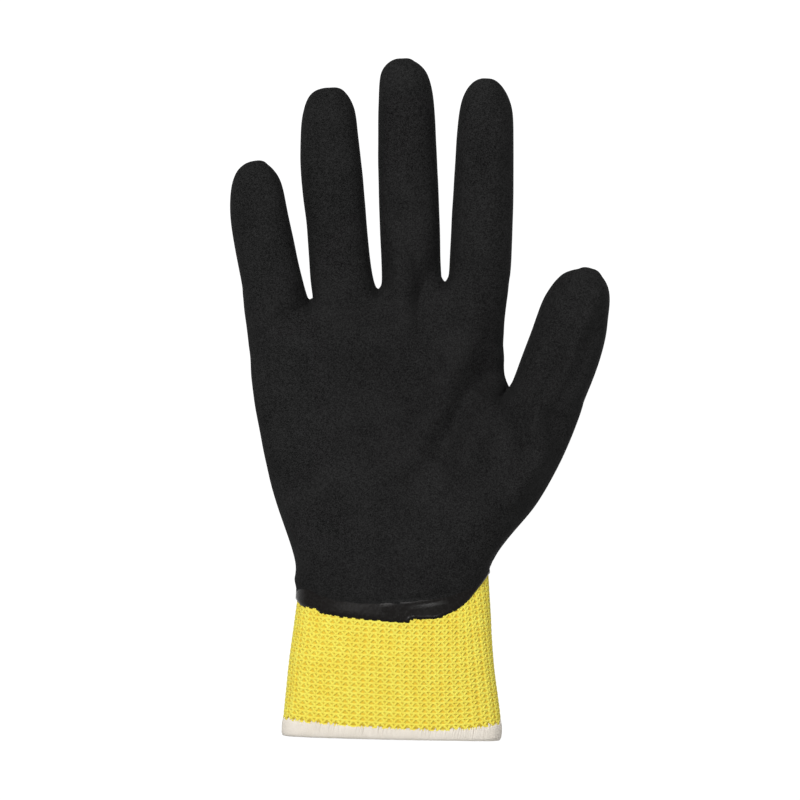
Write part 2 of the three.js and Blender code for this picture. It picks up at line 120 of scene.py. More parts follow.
@dataclass(frozen=True)
class HandRow(Row):
    """A section across the cuff or the palm, up to the thumb's fork.

    left and right are the outline, seam the line down from the thumb's fork on the palm and
    back_seam on the back. edge and band are shares of the wrist's sags, inset is how far the
    liner lies inside the outline, and mid, up and down are the middle height and half heights.
    """

    left: float
    left_y: float
    seam: float
    back_seam: float
    seam_y: float
    right: float
    right_y: float
    edge: float
    band: float
    inset: float
    mid: float
    up: float
    down: float


@dataclass(frozen=True)
class KnuckleRow(Row):
    """A section of the palm above the thumb's fork. least is the back's least height."""

    left: float
    left_y: float
    right: float
    right_y: float
    mid: float
    up: float
    down: float
    least: float


@dataclass(frozen=True)
class Digit:
    """A finger's stall, along a line in plan from a point at its root to its tip.

    rows hold the distance along the line and the outline's distances to its left and right.
    mid is the line's height at the root, lift its rise to the tip, and crest the sideways
    place of the pad's highest point. Where there is no fork on a side, root is the outline.
    """

    part: Part
    start: tuple[float, float]
    tip: tuple[float, float]
    mid: float
    lift: float
    rows: tuple[tuple[float, float, float], ...]
    left_fork: Optional[tuple[float, float]] = None
    right_fork: Optional[tuple[float, float]] = None
    root: Optional[tuple[float, float]] = None
    crest: float = 0.0


# How far the face of each coat lies out of the liner's
SMOOTH_TO = 0.9
GRIP_TO = 1.8

# The numbers of the rows that have a name, and of the place a row below the first
BELOW_HEM, HEM_END, HEM_TOP, CUFF_ROW, COAT_EDGE, BAND_TOP, FORK_ROW = -1, 0, 1, 2, 3, 4, 10
HAND_ROWS = tuple(HandRow(*row) for row in (
    (-49.7, -122.9, 13.8, 13.8, -124.1, 29.7, -124.7, 0.02, 0, 0.0, 12.6, 13.4, 12.6),
    (-49.3, -116.8, 13.8, 13.8, -118.2, 30.0, -118.6, 0.20, 0, 0.0, 12.8, 13.4, 12.8),
    (-47.2, -96.0, 12.7, 15.0, -95.2, 27.2, -95.0, 0.25, 0, 0.0, 13.8, 14.0, 13.8),
    (-44.8, -73.8, 12.4, 17.0, -65.4, 26.0, -64.5, 1, 0, 0.6, 14.4, 14.2, 14.4),
    (-44.8, -67.8, 12.5, 17.5, -63.2, 26.1, -61.5, 0, 1, 1.0, 14.5, 14.2, 14.5),
    (-45.1, -60.0, 15.2, 20.5, -58.3, 28.3, -57.0, 0, 0.8, GRIP_TO, 14.6, 14.2, 14.6),
    (-48.2, -49.0, 18.2, 23.5, -49.1, 34.3, -49.2, 0, 0.35, GRIP_TO, 14.6, 13.8, 14.6),
    (-52.3, -37.0, 21.8, 26.0, -37.5, 42.0, -39.9, 0, 0.1, GRIP_TO, 14.4, 13.2, 14.4),
    (-55.4, -25.0, 25.6, 28.5, -24.7, 48.8, -28.9, 0, 0, GRIP_TO, 14.1, 12.6, 14.1),
    (-58.0, -12.5, 29.4, 30.8, -12.2, 54.3, -17.8, 0, 0, GRIP_TO, 13.8, 12.0, 13.8),
    (-59.9, -1.4, 32.5, 32.5, -1.0, 57.8, -9.3, 0, 0, GRIP_TO, 13.4, 11.4, 13.4),
))
KNUCKLE_ROWS = (
    KnuckleRow(-61.1, 7.5, 31.9, 7.5, 13.0, 10.8, 13.0, 0.0),
    KnuckleRow(-61.7, 16.5, 31.0, 19.5, 12.6, 10.0, 12.0, 1.4),
    KnuckleRow(-62.7, 25.0, 31.6, 30.0, 12.1, 9.0, 10.4, 2.0),
)

# How far the coat's lower edge and the top of its smooth band hang below a straight line
# across the wrist: a share of the way from the little finger's side, and the two sags
WRIST_SAG = np.array((
    (0.00, 0.0, 0.0),
    (0.12, 5.5, 3.9),
    (0.32, 9.7, 6.4),
    (0.54, 13.4, 8.6),
    (0.72, 14.1, 8.8),
    (0.85, 11.2, 8.0),
    (0.94, 4.6, 4.2),
    (1.00, 0.0, 0.0),
))

THUMB_FORK = (32.7, 4.0)
LITTLE_RING_FORK = (-39.7, 36.5)
RING_MIDDLE_FORK = (-14.8, 40.4)
MIDDLE_INDEX_FORK = (9.7, 43.1)

DIGITS = (
    Digit(
        Part.LITTLE, (-52.0, 37.0), (-59.6, 87.8), 11.0, 8,
        ((7, 11.8, 10.3), (18, 12.2, 9.6), (30, 12.3, 8.9), (38, 11.3, 8.5),
         (44, 9.6, 7.4), (48.6, 6.8, 4.8)),
        right_fork=LITTLE_RING_FORK, root=(-63.6, 32.0),
    ),
    Digit(
        Part.RING, (-27.7, 40.0), (-32.3, 114.3), 11.3, 11,
        ((7, 11.7, 11.0), (22, 11.6, 10.3), (40, 12.6, 10.0), (57, 11.9, 9.1),
         (66, 10.2, 8.3), (71.5, 7.5, 5.9)),
        left_fork=LITTLE_RING_FORK, right_fork=RING_MIDDLE_FORK,
    ),
    Digit(
        Part.MIDDLE, (-2.7, 43.0), (-5.9, 125.0), 11.4, 12,
        ((6, 10.6, 11.2), (32, 10.6, 11.3), (58, 9.8, 11.1), (69, 9.1, 10.4),
         (76, 8.2, 8.5), (80, 5.6, 5.0)),
        left_fork=RING_MIDDLE_FORK, right_fork=MIDDLE_INDEX_FORK,
    ),
    Digit(
        Part.INDEX, (21.8, 43.0), (24.9, 117.7), 11.3, 10,
        ((5, 10.7, 11.7), (22, 10.6, 11.9), (50, 10.1, 10.9), (62, 9.4, 10.0),
         (68, 8.1, 8.1), (72.2, 5.6, 5.3)),
        left_fork=MIDDLE_INDEX_FORK, root=(32.6, 38.0),
    ),
)
THUMB = Digit(
    Part.THUMB, (46.5, -1.5), (63.5, 48.3), 13.4, 9,
    ((7, 13.9, 13.2), (24, 13.5, 13.5), (35, 13.2, 11.8), (42, 11.6, 10.2),
     (47, 9.1, 8.0), (50.2, 5.4, 5.0)),
    left_fork=THUMB_FORK, root=(57.8, -9.3), crest=0.3,
)

# Soft mounds of the palm's face, and hollows below zero: x, y, radius, height
MOUNDS = (
    (34, -22, 22, 4.0), (-36, -36, 26, 2.0), (-6, -10, 24, -2.6), (29, -8, 9, -2.4),
    (-39, 30, 7, -1.8), (-15, 33, 7, -1.2), (9, 36, 7, -1.2), (-50, 28, 9, 0.8),
    (-27, 30, 9, 1.0), (-3, 32, 9, 1.0), (20, 31, 9, 1.0),
)


@dataclass(frozen=True)
class Fold:
    """A soft ridge of the palm's face along a line in plan, or a crease below zero."""

    name: str
    half_width: float
    height: float
    line: tuple[tuple[float, float], ...]


FOLDS = (
    Fold("life line ridge", 5.0, 2.9, (
        (22.0, 28.0), (16.0, 16.5), (11.0, 7.0), (5.0, -5.0), (0.0, -16.0), (-9.0, -26.0))),
    Fold("thumb valley", 5.4, -2.8, ((24.5, 7.5), (21.5, 4.5), (17.0, -1.5), (13.0, -9.5))),
    Fold("thumb valley end", 5.4, -1.6, ((10.8, -16.0), (7.5, -24.0))),
    Fold("thumb mound", 6.0, 2.4, ((24.5, -5.5), (21.0, -13.0), (18.0, -24.0))),
    Fold("thumb fork side", 3.4, -2.5, ((33.0, 12.0), (32.4, 5.0))),
    Fold("thumb fork pit", 2.7, -6.4, ((32.8, 3.4), (30.2, 0.6))),
    Fold("thumb ridge", 2.8, 2.8, (
        (65.0, 38.5), (61.0, 30.5), (57.6, 22.5), (54.4, 13.3), (50.9, 6.6), (46.4, 0.1),
        (43.0, -5.3), (43.0, -11.3), (45.5, -17.2), (44.4, -22.5), (38.4, -30.3),
        (34.0, -37.0))),
    Fold("thumb hollow", 3.2, -2.2, ((34.0, -3.5), (37.8, -9.0), (38.5, -17.0))),
    Fold("forefinger side", 2.2, -1.2, ((31.5, 34.0), (31.0, 22.0), (30.8, 10.0))),
    Fold("forefinger ridge", 2.6, 0.9, ((29.0, 99.0), (27.4, 70.0), (24.0, 52.0))),
    Fold("middle finger crease", 4.0, -3.1, (
        (6.6, 52.0), (3.8, 46.5), (1.2, 41.0), (-0.4, 35.5))),
    Fold("middle finger ridge", 3.4, 2.4, (
        (-6.8, 55.0), (-6.2, 45.0), (-5.2, 38.0), (-5.0, 28.0))),
    Fold("middle fingertip", 1.8, 0.6, ((-2.2, 114.0), (0.4, 105.0))),
    Fold("ring fingertip", 1.6, 0.5, ((-25.6, 105.0), (-24.4, 97.0))),
    Fold("little finger ridge", 3.0, 1.8, ((-58.0, 27.0), (-53.0, 32.0), (-48.0, 35.5))),
    Fold("little finger dimple", 2.6, -2.4, ((-43.4, 39.5), (-41.0, 34.5))),
    Fold("ring finger dimple", 2.4, -1.4, ((-17.6, 44.0), (-15.4, 38.0))),
    Fold("palm edge dent", 4.0, -1.4, ((-60.5, 21.0), (-58.5, 17.0))),
    Fold("finger pads", 6.5, 2.2, ((-50.0, 22.0), (-28.0, 21.0), (-8.0, 23.0))),
    Fold("palm slope", 8.0, -2.2, ((-38.0, 5.0), (-16.0, 6.0), (-6.0, -3.0))),
    Fold("heel streak", 3.0, 1.2, ((-46.0, -40.0), (-39.5, -36.5), (-33.0, -33.0))),
    Fold("wrist gloss", 1.2, 0.6, ((-12.0, -75.3), (-5.3, -74.7), (4.2, -73.6), (10.8, -72.4))),
    Fold("wrist glint", 0.8, 0.4, ((-10.4, -77.3), (-3.5, -78.0))),
    Fold("heel hollow", 5.0, -1.3, ((-51.0, -27.0), (-42.0, -31.0), (-26.0, -42.0))),
)

# The smooth coat's lower edge across the wrist on the palm, as it runs from stitch to stitch
COAT_LINE = np.array((
    (-47.0, -73.6), (-44.2, -74.0), (-43.0, -75.6), (-37.4, -76.6), (-36.2, -78.0),
    (-28.0, -79.5), (-18.0, -80.5), (-6.8, -81.6), (-3.8, -81.6), (-2.4, -80.4),
    (6.2, -80.3), (12.0, -78.0), (15.3, -76.1), (18.8, -72.8), (21.4, -69.8),
    (24.0, -66.2), (25.9, -63.7), (28.0, -60.0),
))

# The sandy coat's lower edge above it
GRIP_LINE = np.array((
    (-48.0, -72.4), (-44.2, -72.0), (-42.9, -70.0), (-40.6, -69.6), (-36.0, -71.6),
    (-29.8, -73.8), (-20.3, -74.8), (-5.7, -74.6), (4.2, -73.5), (12.2, -72.0),
    (17.4, -69.9), (20.8, -68.6), (23.2, -66.2), (25.4, -63.2), (28.0, -58.6),
))


def bow(u: float, roundness: float) -> float:
    """The height of a rounded section at u, which is -1 and 1 at its two ends."""
    return max(0.0, 1.0 - abs(u) ** roundness) ** (1.0 / roundness)


def plan(x: float, y: float) -> Vector:
    """A place in plan."""
    return Vector((x, y))


def inset_line(points: Sequence[Vector], distances: Sequence[float], side: int) -> list[Vector]:
    """Moves each point of a line sideways by its own distance.

    Args:
        points: The line's points in plan.
        distances: How far each point moves.
        side: 1 to move to the right of the line's direction, -1 to the left.

    Returns:
        The moved points.
    """
    moved = []
    for i, point in enumerate(points):
        along = (points[min(i + 1, len(points) - 1)] - points[max(i - 1, 0)]).normalized()
        moved.append(point + plan(along.y, -along.x) * side * distances[i])
    return moved


@dataclass
class Ring:
    """One section of the cage, by the numbers of its points, each side from left to right."""

    left: int
    palm: list[int]
    right: int
    back: list[int]

    def loop(self) -> list[int]:
        """The ring's points all the way round, from the left over the palm."""
        return [self.left, *self.palm, self.right, *reversed(self.back)]


@dataclass(frozen=True)
class Cover:
    """Which coats lie over a face of the cage."""

    smooth: bool
    grip: bool


CoatRule = Callable[[Optional[int]], Cover]


def bare(_column: Optional[int]) -> Cover:
    """No coat."""
    return Cover(smooth=False, grip=False)


def coated(column: Optional[int]) -> Cover:
    """The smooth coat all round, and the sandy one on the palm and the edges."""
    return Cover(smooth=True, grip=column is None)


def panel_to(last: int, grip: bool) -> CoatRule:
    """A rule that leaves the back bare from column 1 to the last one.

    Args:
        last: The last bare column of the back.
        grip: Whether the sandy coat lies over the palm here.

    Returns:
        The rule.
    """

    def rule(column: Optional[int]) -> Cover:
        """The coats over a column of the back, or over the palm where it is None."""
        palm = column is None
        return Cover(smooth=palm or column < 1 or column > last, grip=grip and palm)

    return rule


@dataclass
class HandCage:
    """The sections of the whole hand, joined into one cage of faces.

    The places of its rings are numbers of rows, with a fraction between two of them. The
    knuckle shares place one more ring after the first knuckle row, and one after the second.
    The columns of a ring begin edge_inset inside its sides. The back is bare from column 1 to
    the panel's last one, below the thumb's fork and above it. It is sunk by rest_press, as far
    as the floor or a least height lets it, and the thumb's two values give the least heights
    beside the panel.

    A stall's first rings each have a rise from the fork, a spread from it and a share of the
    stall's own round section, and lie at the outer shares where there is no fork. fork_depth
    is how far their columns hang below the fork, the corners are how thick they are at their
    ends, and outer_inset is how far those lie inside. The dome's two shares close the tip.
    """

    cuff_places: tuple[float, ...] = (HEM_TOP, 1.5, CUFF_ROW, 2.45, 2.78)
    band_places: tuple[float, ...] = (COAT_EDGE, 3.5)
    palm_places: tuple[float, ...] = (BAND_TOP, 4.3, 5, 6, 7, 8, 9, FORK_ROW)
    knuckle_shares: tuple[float, float] = (0.6, 0.4)
    finger_columns: int = 4
    edge_inset: float = 2.2
    panel_last_low: int = 15
    panel_last_high: int = 14
    palm_roundness: float = 2.4
    finger_roundness: float = 2.3
    finger_flatness: float = 0.84
    rise_power: float = 1.6
    rest_press: float = 1.4
    thumb_clearance: float = 1.4
    thumb_rise: float = 0.5
    fork_depth: float = 3.2
    fork_corner: float = 0.8
    outer_corner: float = 0.55
    outer_inset: float = 0.12
    outer_shares: tuple[float, ...] = (0, 0.35, 0.7)
    fork_rings: tuple[tuple[float, float, float], ...] = (
        (0.0, 0.0, 0.0), (0.8, 1.7, 0.35), (2.7, 2.8, 0.75))
    dome_width: float = 0.62
    dome_rise: float = 0.65
    points: list[Vector] = field(default_factory=list)
    faces: list[tuple[tuple[int, ...], Part, Cover]] = field(default_factory=list)
    rings: list[Ring] = field(default_factory=list)
    ring_at: dict[float, Ring] = field(default_factory=dict)
    uppers: list[Ring] = field(default_factory=list)

    def __post_init__(self) -> None:
        """Builds the cage."""
        self.seam = len(DIGITS) * self.finger_columns
        self.columns = self.seam + self.finger_columns
        insets = [row.inset for row in HAND_ROWS]
        self.lefts = inset_line([plan(r.left, r.left_y) for r in HAND_ROWS], insets, 1)
        self.rights = inset_line([plan(r.right, r.right_y) for r in HAND_ROWS], insets, -1)
        self.build()

    def point(self, place: Vector, z: float) -> int:
        """Adds a point over a place in plan and gives its number."""
        self.points.append(Vector((place.x, place.y, z)))
        return len(self.points) - 1

    def bridge(self, lower: Ring, upper: Ring, part: Part, rule: CoatRule) -> None:
        """Joins two rings of the same number of columns.

        Args:
            lower: The ring nearer to the cuff's end.
            upper: The ring nearer to the fingertips.
            part: The knitted piece that the strip belongs to.
            rule: Which coats lie over it.
        """
        for c in range(len(upper.palm) - 1):
            palm = (lower.palm[c], lower.palm[c + 1], upper.palm[c + 1], upper.palm[c])
            back = (lower.back[c + 1], lower.back[c], upper.back[c], upper.back[c + 1])
            self.faces.append((palm, part, rule(None)))
            self.faces.append((back, part, rule(c)))
        edge = rule(None)
        for corners in (
            (lower.left, lower.palm[0], upper.palm[0], upper.left),
            (lower.back[0], lower.left, upper.left, upper.back[0]),
            (lower.palm[-1], lower.right, upper.right, upper.palm[-1]),
            (lower.right, lower.back[-1], upper.back[-1], upper.right),
        ):
            self.faces.append((corners, part, edge))

    def cap(self, ring: Ring, tip: int, part: Part) -> None:
        """Closes a stall: a smaller ring on a dome, then a fan to the tip.

        Args:
            ring: The stall's last ring.
            tip: The number of the tip's point.
            part: The knitted piece that the tip belongs to.
        """
        loop = ring.loop()
        centre = sum((self.points[i] for i in loop), Vector((0, 0, 0))) / len(loop)
        rise = (self.points[tip] - centre) * self.dome_rise
        dome = []
        for index in loop:
            spot = centre + rise + (self.points[index] - centre) * self.dome_width
            dome.append(self.point(spot.xy, spot.z))
        last = len(loop) - 1
        half = self.finger_columns + 2
        for i, index in enumerate(loop):
            j = 0 if i == last else i + 1
            cover = Cover(smooth=True, grip=not half < i < last)
            self.faces.append(((index, loop[j], dome[j], dome[i]), part, cover))
            self.faces.append(((dome[i], dome[j], tip), part, cover))

    def hand_ring(
        self, row: HandRow | KnuckleRow, left: Vector, right: Vector,
        places: dict[str, list[Vector]], leasts: Sequence[float],
    ) -> Ring:
        """Adds a ring across the cuff or the palm.

        Args:
            row: The row whose heights it has.
            left: Its left side in plan.
            right: Its right side in plan.
            places: The places in plan of the columns on the palm and on the back.
            leasts: The least height of each column of the back.

        Returns:
            The ring.
        """
        middle = (left.x + right.x) / 2
        half = (right.x - left.x) / 2
        ring = Ring(self.point(left, row.mid), [], self.point(right, row.mid), [])
        for spot in places["palm"]:
            mound = sum(
                height * math.exp(-((spot.x - x) ** 2 + (spot.y - y) ** 2) / radius ** 2)
                for x, y, radius, height in MOUNDS)
            rise = (row.up + mound) * bow((spot.x - middle) / half, self.palm_roundness)
            ring.palm.append(self.point(spot, row.mid + rise))
        for spot, least in zip(places["back"], leasts):
            bowed = bow((spot.x - middle) / half, self.palm_roundness)
            fall = (row.down + self.rest_press) * bowed
            ring.back.append(self.point(spot, max(least, row.mid - fall)))
        return ring

    def lower_ring(self, position: float) -> Ring:
        """Adds a ring of the cuff or the palm below the thumb's fork.

        Args:
            position: The number of its row, with a fraction between two rows.

        Returns:
            The ring.
        """
        i = min(max(int(position), 0), len(HAND_ROWS) - 2)
        share = position - i
        row = HAND_ROWS[i].towards(HAND_ROWS[i + 1], share)
        left = self.lefts[i].lerp(self.lefts[i + 1], share)
        right = self.rights[i].lerp(self.rights[i + 1], share)
        inset = plan(self.edge_inset, 0)
        places: dict[str, list[Vector]] = {}
        for side, seam_x in (("palm", row.seam), ("back", row.back_seam)):
            seam = plan(seam_x, row.seam_y)
            spots = [(left + inset).lerp(seam, c / self.seam) for c in range(self.seam + 1)]
            spots += [
                seam.lerp(right - inset, (c + 1) / self.finger_columns)
                for c in range(self.finger_columns)]
            places[side] = spots
        for spot in places["palm"]:
            across = (spot.x - left.x) / (right.x - left.x)
            for weight, column in ((row.edge, 1), (row.band, 2)):
                sag = np.interp(across, WRIST_SAG[:, 0], WRIST_SAG[:, column])
                spot.y -= weight * float(sag)
        leasts = [0.0] * (self.columns + 1)
        if position >= COAT_EDGE:
            for step, c in enumerate(range(self.panel_last_high + 1, self.columns + 1)):
                leasts[c] = self.thumb_clearance + self.thumb_rise * step
        return self.hand_ring(row, left, right, places, leasts)

    def upper_ring(self, row: KnuckleRow) -> Ring:
        """Adds a ring of the palm between the thumb's fork and the fingers.

        Args:
            row: Its row.

        Returns:
            The ring.
        """
        left = plan(row.left + GRIP_TO, row.left_y)
        right = plan(row.right - GRIP_TO, row.right_y)
        inset = plan(self.edge_inset, 0)
        spots = [(left + inset).lerp(right - inset, c / self.seam) for c in range(self.seam + 1)]
        places = {"palm": spots, "back": spots}
        return self.hand_ring(row, left, right, places, [row.least] * len(spots))

    def round_point(self, k: int, crest: float) -> tuple[float, float]:
        """A point of a stall's own round section.

        Args:
            k: The number of its column.
            crest: The sideways place of the highest point.

        Returns:
            Its place across, from -1 to 1, and its height as a share of half the thickness.
        """
        angle = math.pi * (self.finger_columns + 1 - k) / (self.finger_columns + 2)
        power = 2 / self.finger_roundness
        x = math.copysign(abs(math.cos(angle)) ** power, math.cos(angle))
        return x + crest * (1 - x * x), math.sin(angle) ** power

    def digit_rings(self, digit: Digit, base: Optional[Ring]) -> tuple[list[Ring], int]:
        """Adds the rings of a stall from its forks to its tip.

        Args:
            digit: The finger or the thumb.
            base: The ring that it grows from, where there is one already.

        Returns:
            The rings, and the number of the tip's point.
        """
        start, tip = plan(*digit.start), plan(*digit.tip)
        along = (tip - start).normalized()
        across = plan(along.y, -along.x)
        length = (tip - start).length
        lines = {}
        for sign, column, fork in ((-1, 1, digit.left_fork), (1, 2, digit.right_fork)):
            spots = [start + along * row[0] + across * sign * row[column] for row in digit.rows]
            spots.append(tip.copy())
            line = inset_line(spots, [GRIP_TO] * len(spots), -sign)
            heads = []
            for (rise, spread, _), share in zip(self.fork_rings, self.outer_shares):
                if fork is None:
                    root = plan(digit.root[0] - sign * GRIP_TO, digit.root[1])
                    heads.append(root.lerp(line[0], share))
                else:
                    heads.append(plan(fork[0] - sign * spread, fork[1] - GRIP_TO + rise))
            lines[sign] = heads + line
        first_round = len(self.fork_rings)
        root_width = (lines[1][first_round] - lines[-1][first_round]).length
        rings = []
        for i, (left, right) in enumerate(zip(lines[-1][:-1], lines[1][:-1])):
            forked = i < first_round
            width = root_width if forked else (right - left).length
            run = max(0.0, ((left + right) / 2 - start).dot(along) / length)
            height = digit.mid + digit.lift * run ** self.rise_power
            blend = self.fork_rings[i][2] if forked else 1.0
            half = self.finger_flatness * width / 2
            rings.append(self.digit_ring(digit, left, right, half, height, blend, base))
        top = (lines[-1][-1] + lines[1][-1]) / 2
        return rings, self.point(top, digit.mid + digit.lift)

    def digit_ring(
        self, digit: Digit, left: Vector, right: Vector, half: float, height: float,
        blend: float, base: Optional[Ring],
    ) -> Ring:
        """Adds one ring of a stall between its two side points.

        Args:
            digit: The finger or the thumb.
            left: Its left side in plan.
            right: Its right side in plan.
            half: Half its thickness.
            height: The height of its sides.
            blend: 0 at the forks, and 1 where the stall has its own round section.
            base: The ring that it grows from, where there is one already.

        Returns:
            The ring.
        """
        ring = Ring(self.point(left, height), [], self.point(right, height), [])
        left_forked = 0.0 if digit.left_fork is None else 1.0
        right_forked = 0.0 if digit.right_fork is None else 1.0
        for name, up, crest in (("palm", 1, digit.crest), ("back", -1, 0.0)):
            for k in range(self.finger_columns + 1):
                share = k / self.finger_columns
                u = share * 2 - 1
                forked = left_forked if u < 0 else right_forked
                own_x, own_height = self.round_point(k, crest)
                corner = self.outer_corner + (self.fork_corner - self.outer_corner) * forked
                if base is None:
                    root_z = height + up * half * (1 + (corner - 1) * u * u)
                else:
                    root_z = self.points[getattr(base, name)[k]].z
                root_x = u * (1 - self.outer_inset * (1 - forked))
                x = root_x + (own_x - root_x) * blend
                z = root_z + (height + up * half * own_height - root_z) * blend
                drop = left_forked + (right_forked - left_forked) * share
                spot = left.lerp(right, (x + 1) / 2)
                spot.y -= self.fork_depth * (1 - blend) * drop
                getattr(ring, name).append(self.point(spot, z))
        return ring

    def weld(self, left: Ring, right: Ring) -> None:
        """Makes two rings that stand side by side share the three points between them.

        Args:
            left: The ring on the little finger's side.
            right: The ring beside it.
        """

        def shared(a: int, b: int) -> int:
            """Moves one point halfway to the other and gives its number."""
            self.points[a] = (self.points[a] + self.points[b]) / 2
            return a

        right.left = shared(left.right, right.left)
        right.palm[0] = shared(left.palm[-1], right.palm[0])
        right.back[0] = shared(left.back[-1], right.back[0])

    def stall(self, rings: Sequence[Ring], tip: int, part: Part) -> None:
        """Joins a stall's rings and closes its tip.

        Args:
            rings: The rings, from the root.
            tip: The number of the tip's point.
            part: The knitted piece that the stall is.
        """
        for lower, upper in zip(rings, rings[1:]):
            self.bridge(lower, upper, part, coated)
        self.cap(rings[-1], tip, part)

    def build(self) -> None:
        """Joins the hem, the cuff, the palm, the thumb and the fingers."""
        low = panel_to(self.panel_last_low, grip=True)
        high = panel_to(self.panel_last_high, grip=True)
        band = panel_to(self.panel_last_low, grip=False)
        strips = [(place, Part.HEM, bare) for place in (BELOW_HEM, HEM_END)]
        strips += [(place, Part.CUFF, bare) for place in self.cuff_places]
        strips += [(place, Part.CUFF, band) for place in self.band_places]
        strips += [(place, Part.PALM, low) for place in self.palm_places]
        self.rings = [self.lower_ring(position) for position, _, _ in strips]
        self.ring_at = {position: ring for (position, _, _), ring in zip(strips, self.rings)}
        for (_, part, rule), lower, upper in zip(strips, self.rings, self.rings[1:]):
            self.bridge(lower, upper, part, rule)

        fork = self.rings[-1]
        ridge = self.point(plan(THUMB_FORK[0], THUMB_FORK[1] - GRIP_TO), self.points[fork.left].z)
        seam = self.seam
        hand = Ring(fork.left, fork.palm[:seam + 1], ridge, fork.back[:seam + 1])
        root = Ring(ridge, fork.palm[seam:], fork.right, fork.back[seam:])
        rings, tip = self.digit_rings(THUMB, root)
        self.stall([root, *rings[1:]], tip, Part.THUMB)

        stalls = [self.digit_rings(digit, None) for digit in DIGITS]
        roots = [rings[0] for rings, _ in stalls]
        for left, right in zip(roots, roots[1:]):
            self.weld(left, right)
        under = Ring(
            roots[0].left,
            roots[0].palm + [i for r in roots[1:] for i in r.palm[1:]],
            roots[-1].right,
            roots[0].back + [i for r in roots[1:] for i in r.back[1:]],
        )
        first, knuckles, last = KNUCKLE_ROWS
        before, after = self.knuckle_shares
        rows = (
            (first, high), (first.towards(knuckles, before), high), (knuckles, coated),
            (knuckles.towards(last, after), coated), (last, coated))
        self.uppers = [hand, *(self.upper_ring(row) for row, _ in rows), under]
        rules = [high] + [rule for _, rule in rows]
        for rule, lower, upper in zip(rules, self.uppers, self.uppers[1:]):
            self.bridge(lower, upper, Part.PALM, rule)
        for digit, (rings, tip) in zip(DIGITS, stalls):
            self.stall(rings, tip, digit.part)


# Helpers


def linked(name: str, data: bpy.types.ID) -> bpy.types.Object:
    """Makes an object and puts it in the scene.

    Args:
        name: Its name.
        data: Its mesh, lamp or camera.

    Returns:
        The object.
    """
    thing = bpy.data.objects.new(name, data)
    bpy.context.scene.collection.objects.link(thing)
    return thing


def tree_of(spots: Points) -> KDTree:
    """Makes a tree that finds the nearest of some points.

    Args:
        spots: The points.

    Returns:
        The tree.
    """
    tree = KDTree(len(spots))
    for i, spot in enumerate(spots):
        tree.insert(spot, i)
    tree.balance()
    return tree


# The smooth surface

# A face's label is its part's number times COVERS, with 2 for the smooth coat and 1 for the
# sandy one
COVERS = 4

# How far a noise is shifted along each axis, for each unit of its seed
SEED_SHIFT = (1.0, 1.7, 2.3)


def smooth_step(x: Points) -> Points:
    """A soft step from 0 to 1 as x goes from 0 to 1."""
    t = np.clip(x, 0.0, 1.0)
    return t * t * (3 - 2 * t)


def segment_distance(spots: Points, a: Points, b: Points) -> Points:
    """How far each place in plan is from a straight stretch.

    Args:
        spots: The places.
        a: One end of the stretch.
        b: The other end.

    Returns:
        The distances.
    """
    along = b - a
    t = np.clip((spots - a) @ along / (along @ along), 0.0, 1.0)
    return np.linalg.norm(spots - a - t[:, None] * along, axis=1)


def line_distance(spots: Points, line: Points) -> Points:
    """How far each place in plan is from a line of straight stretches."""
    away = [segment_distance(spots, a, b) for a, b in zip(line, line[1:])]
    return np.min(away, axis=0)


def wander(spots: Points, scale: float, seed: float) -> Points:
    """Smooth noise between about -1 and 1 at each point.

    Args:
        spots: The points, in millimetres.
        scale: The size of the noise's swells, in millimetres.
        seed: A shift that makes one noise differ from another.

    Returns:
        The noise.
    """
    shift = Vector([seed * share for share in SEED_SHIFT])
    return np.array([noise.noise(Vector(spot) / scale + shift) for spot in spots])


@dataclass
class Surface:
    """A smooth surface of quads through the cage's points, in millimetres.

    parts holds each quad's place in PARTS, and smooth and grip whether each coat covers it.
    """

    spots: Points
    normals: Points
    quads: Points
    parts: Points
    smooth: Points
    grip: Points

    def rim(self, chosen: Points) -> Points:
        """The edges round some faces.

        Args:
            chosen: Which faces they are.

        Returns:
            The numbers of each edge's two points, in the faces' own direction.
        """
        quads = self.quads[chosen]
        edges = np.concatenate([quads[:, [k, (k + 1) % 4]] for k in range(4)])
        count = len(self.spots)
        keys = edges[:, 0] * count + edges[:, 1]
        turned = edges[:, 1] * count + edges[:, 0]
        return edges[~np.isin(keys, turned)]

    def rim_depth(self, chosen: Points, samples: int = 4) -> Points:
        """How far each point lies inside the rim of some faces.

        Args:
            chosen: Which faces they are.
            samples: How many points stand for each edge of the rim.

        Returns:
            The distances, below zero outside the rim.
        """
        edges = self.rim(chosen)
        shares = (np.arange(samples) / samples)[None, :, None]
        starts = self.spots[edges[:, 0]][:, None]
        ends = self.spots[edges[:, 1]][:, None]
        line = (starts + (ends - starts) * shares).reshape(-1, 3)
        tree = tree_of(line)
        inside = np.zeros(len(self.spots), bool)
        inside[self.quads[chosen].ravel()] = True
        distance = np.array([tree.find(spot)[2] for spot in self.spots])
        return np.where(inside, distance, -distance)

    def shell(self, chosen: Points, outer: Points, inner: Points) -> tuple[Points, Points]:
        """A closed wall over the chosen faces, between two offsets from the surface.

        Args:
            chosen: Which faces it covers.
            outer: The outer offset at each point of the surface.
            inner: The inner offset at each point of the surface.

        Returns:
            The wall's points in millimetres, and its quads.
        """
        quads = self.quads[chosen]
        used = np.unique(quads)
        number = np.full(len(self.spots), -1)
        number[used] = np.arange(len(used))
        spots, normals = self.spots[used], self.normals[used]
        points = np.concatenate([
            spots + normals * outer[used, None],
            spots + normals * inner[used, None]])
        top = number[quads]
        rim = number[self.rim(chosen)]
        count = len(used)
        wall = np.stack([rim[:, 1], rim[:, 0], rim[:, 0] + count, rim[:, 1] + count], axis=1)
        return points, np.concatenate([top, top[:, ::-1] + count, wall])


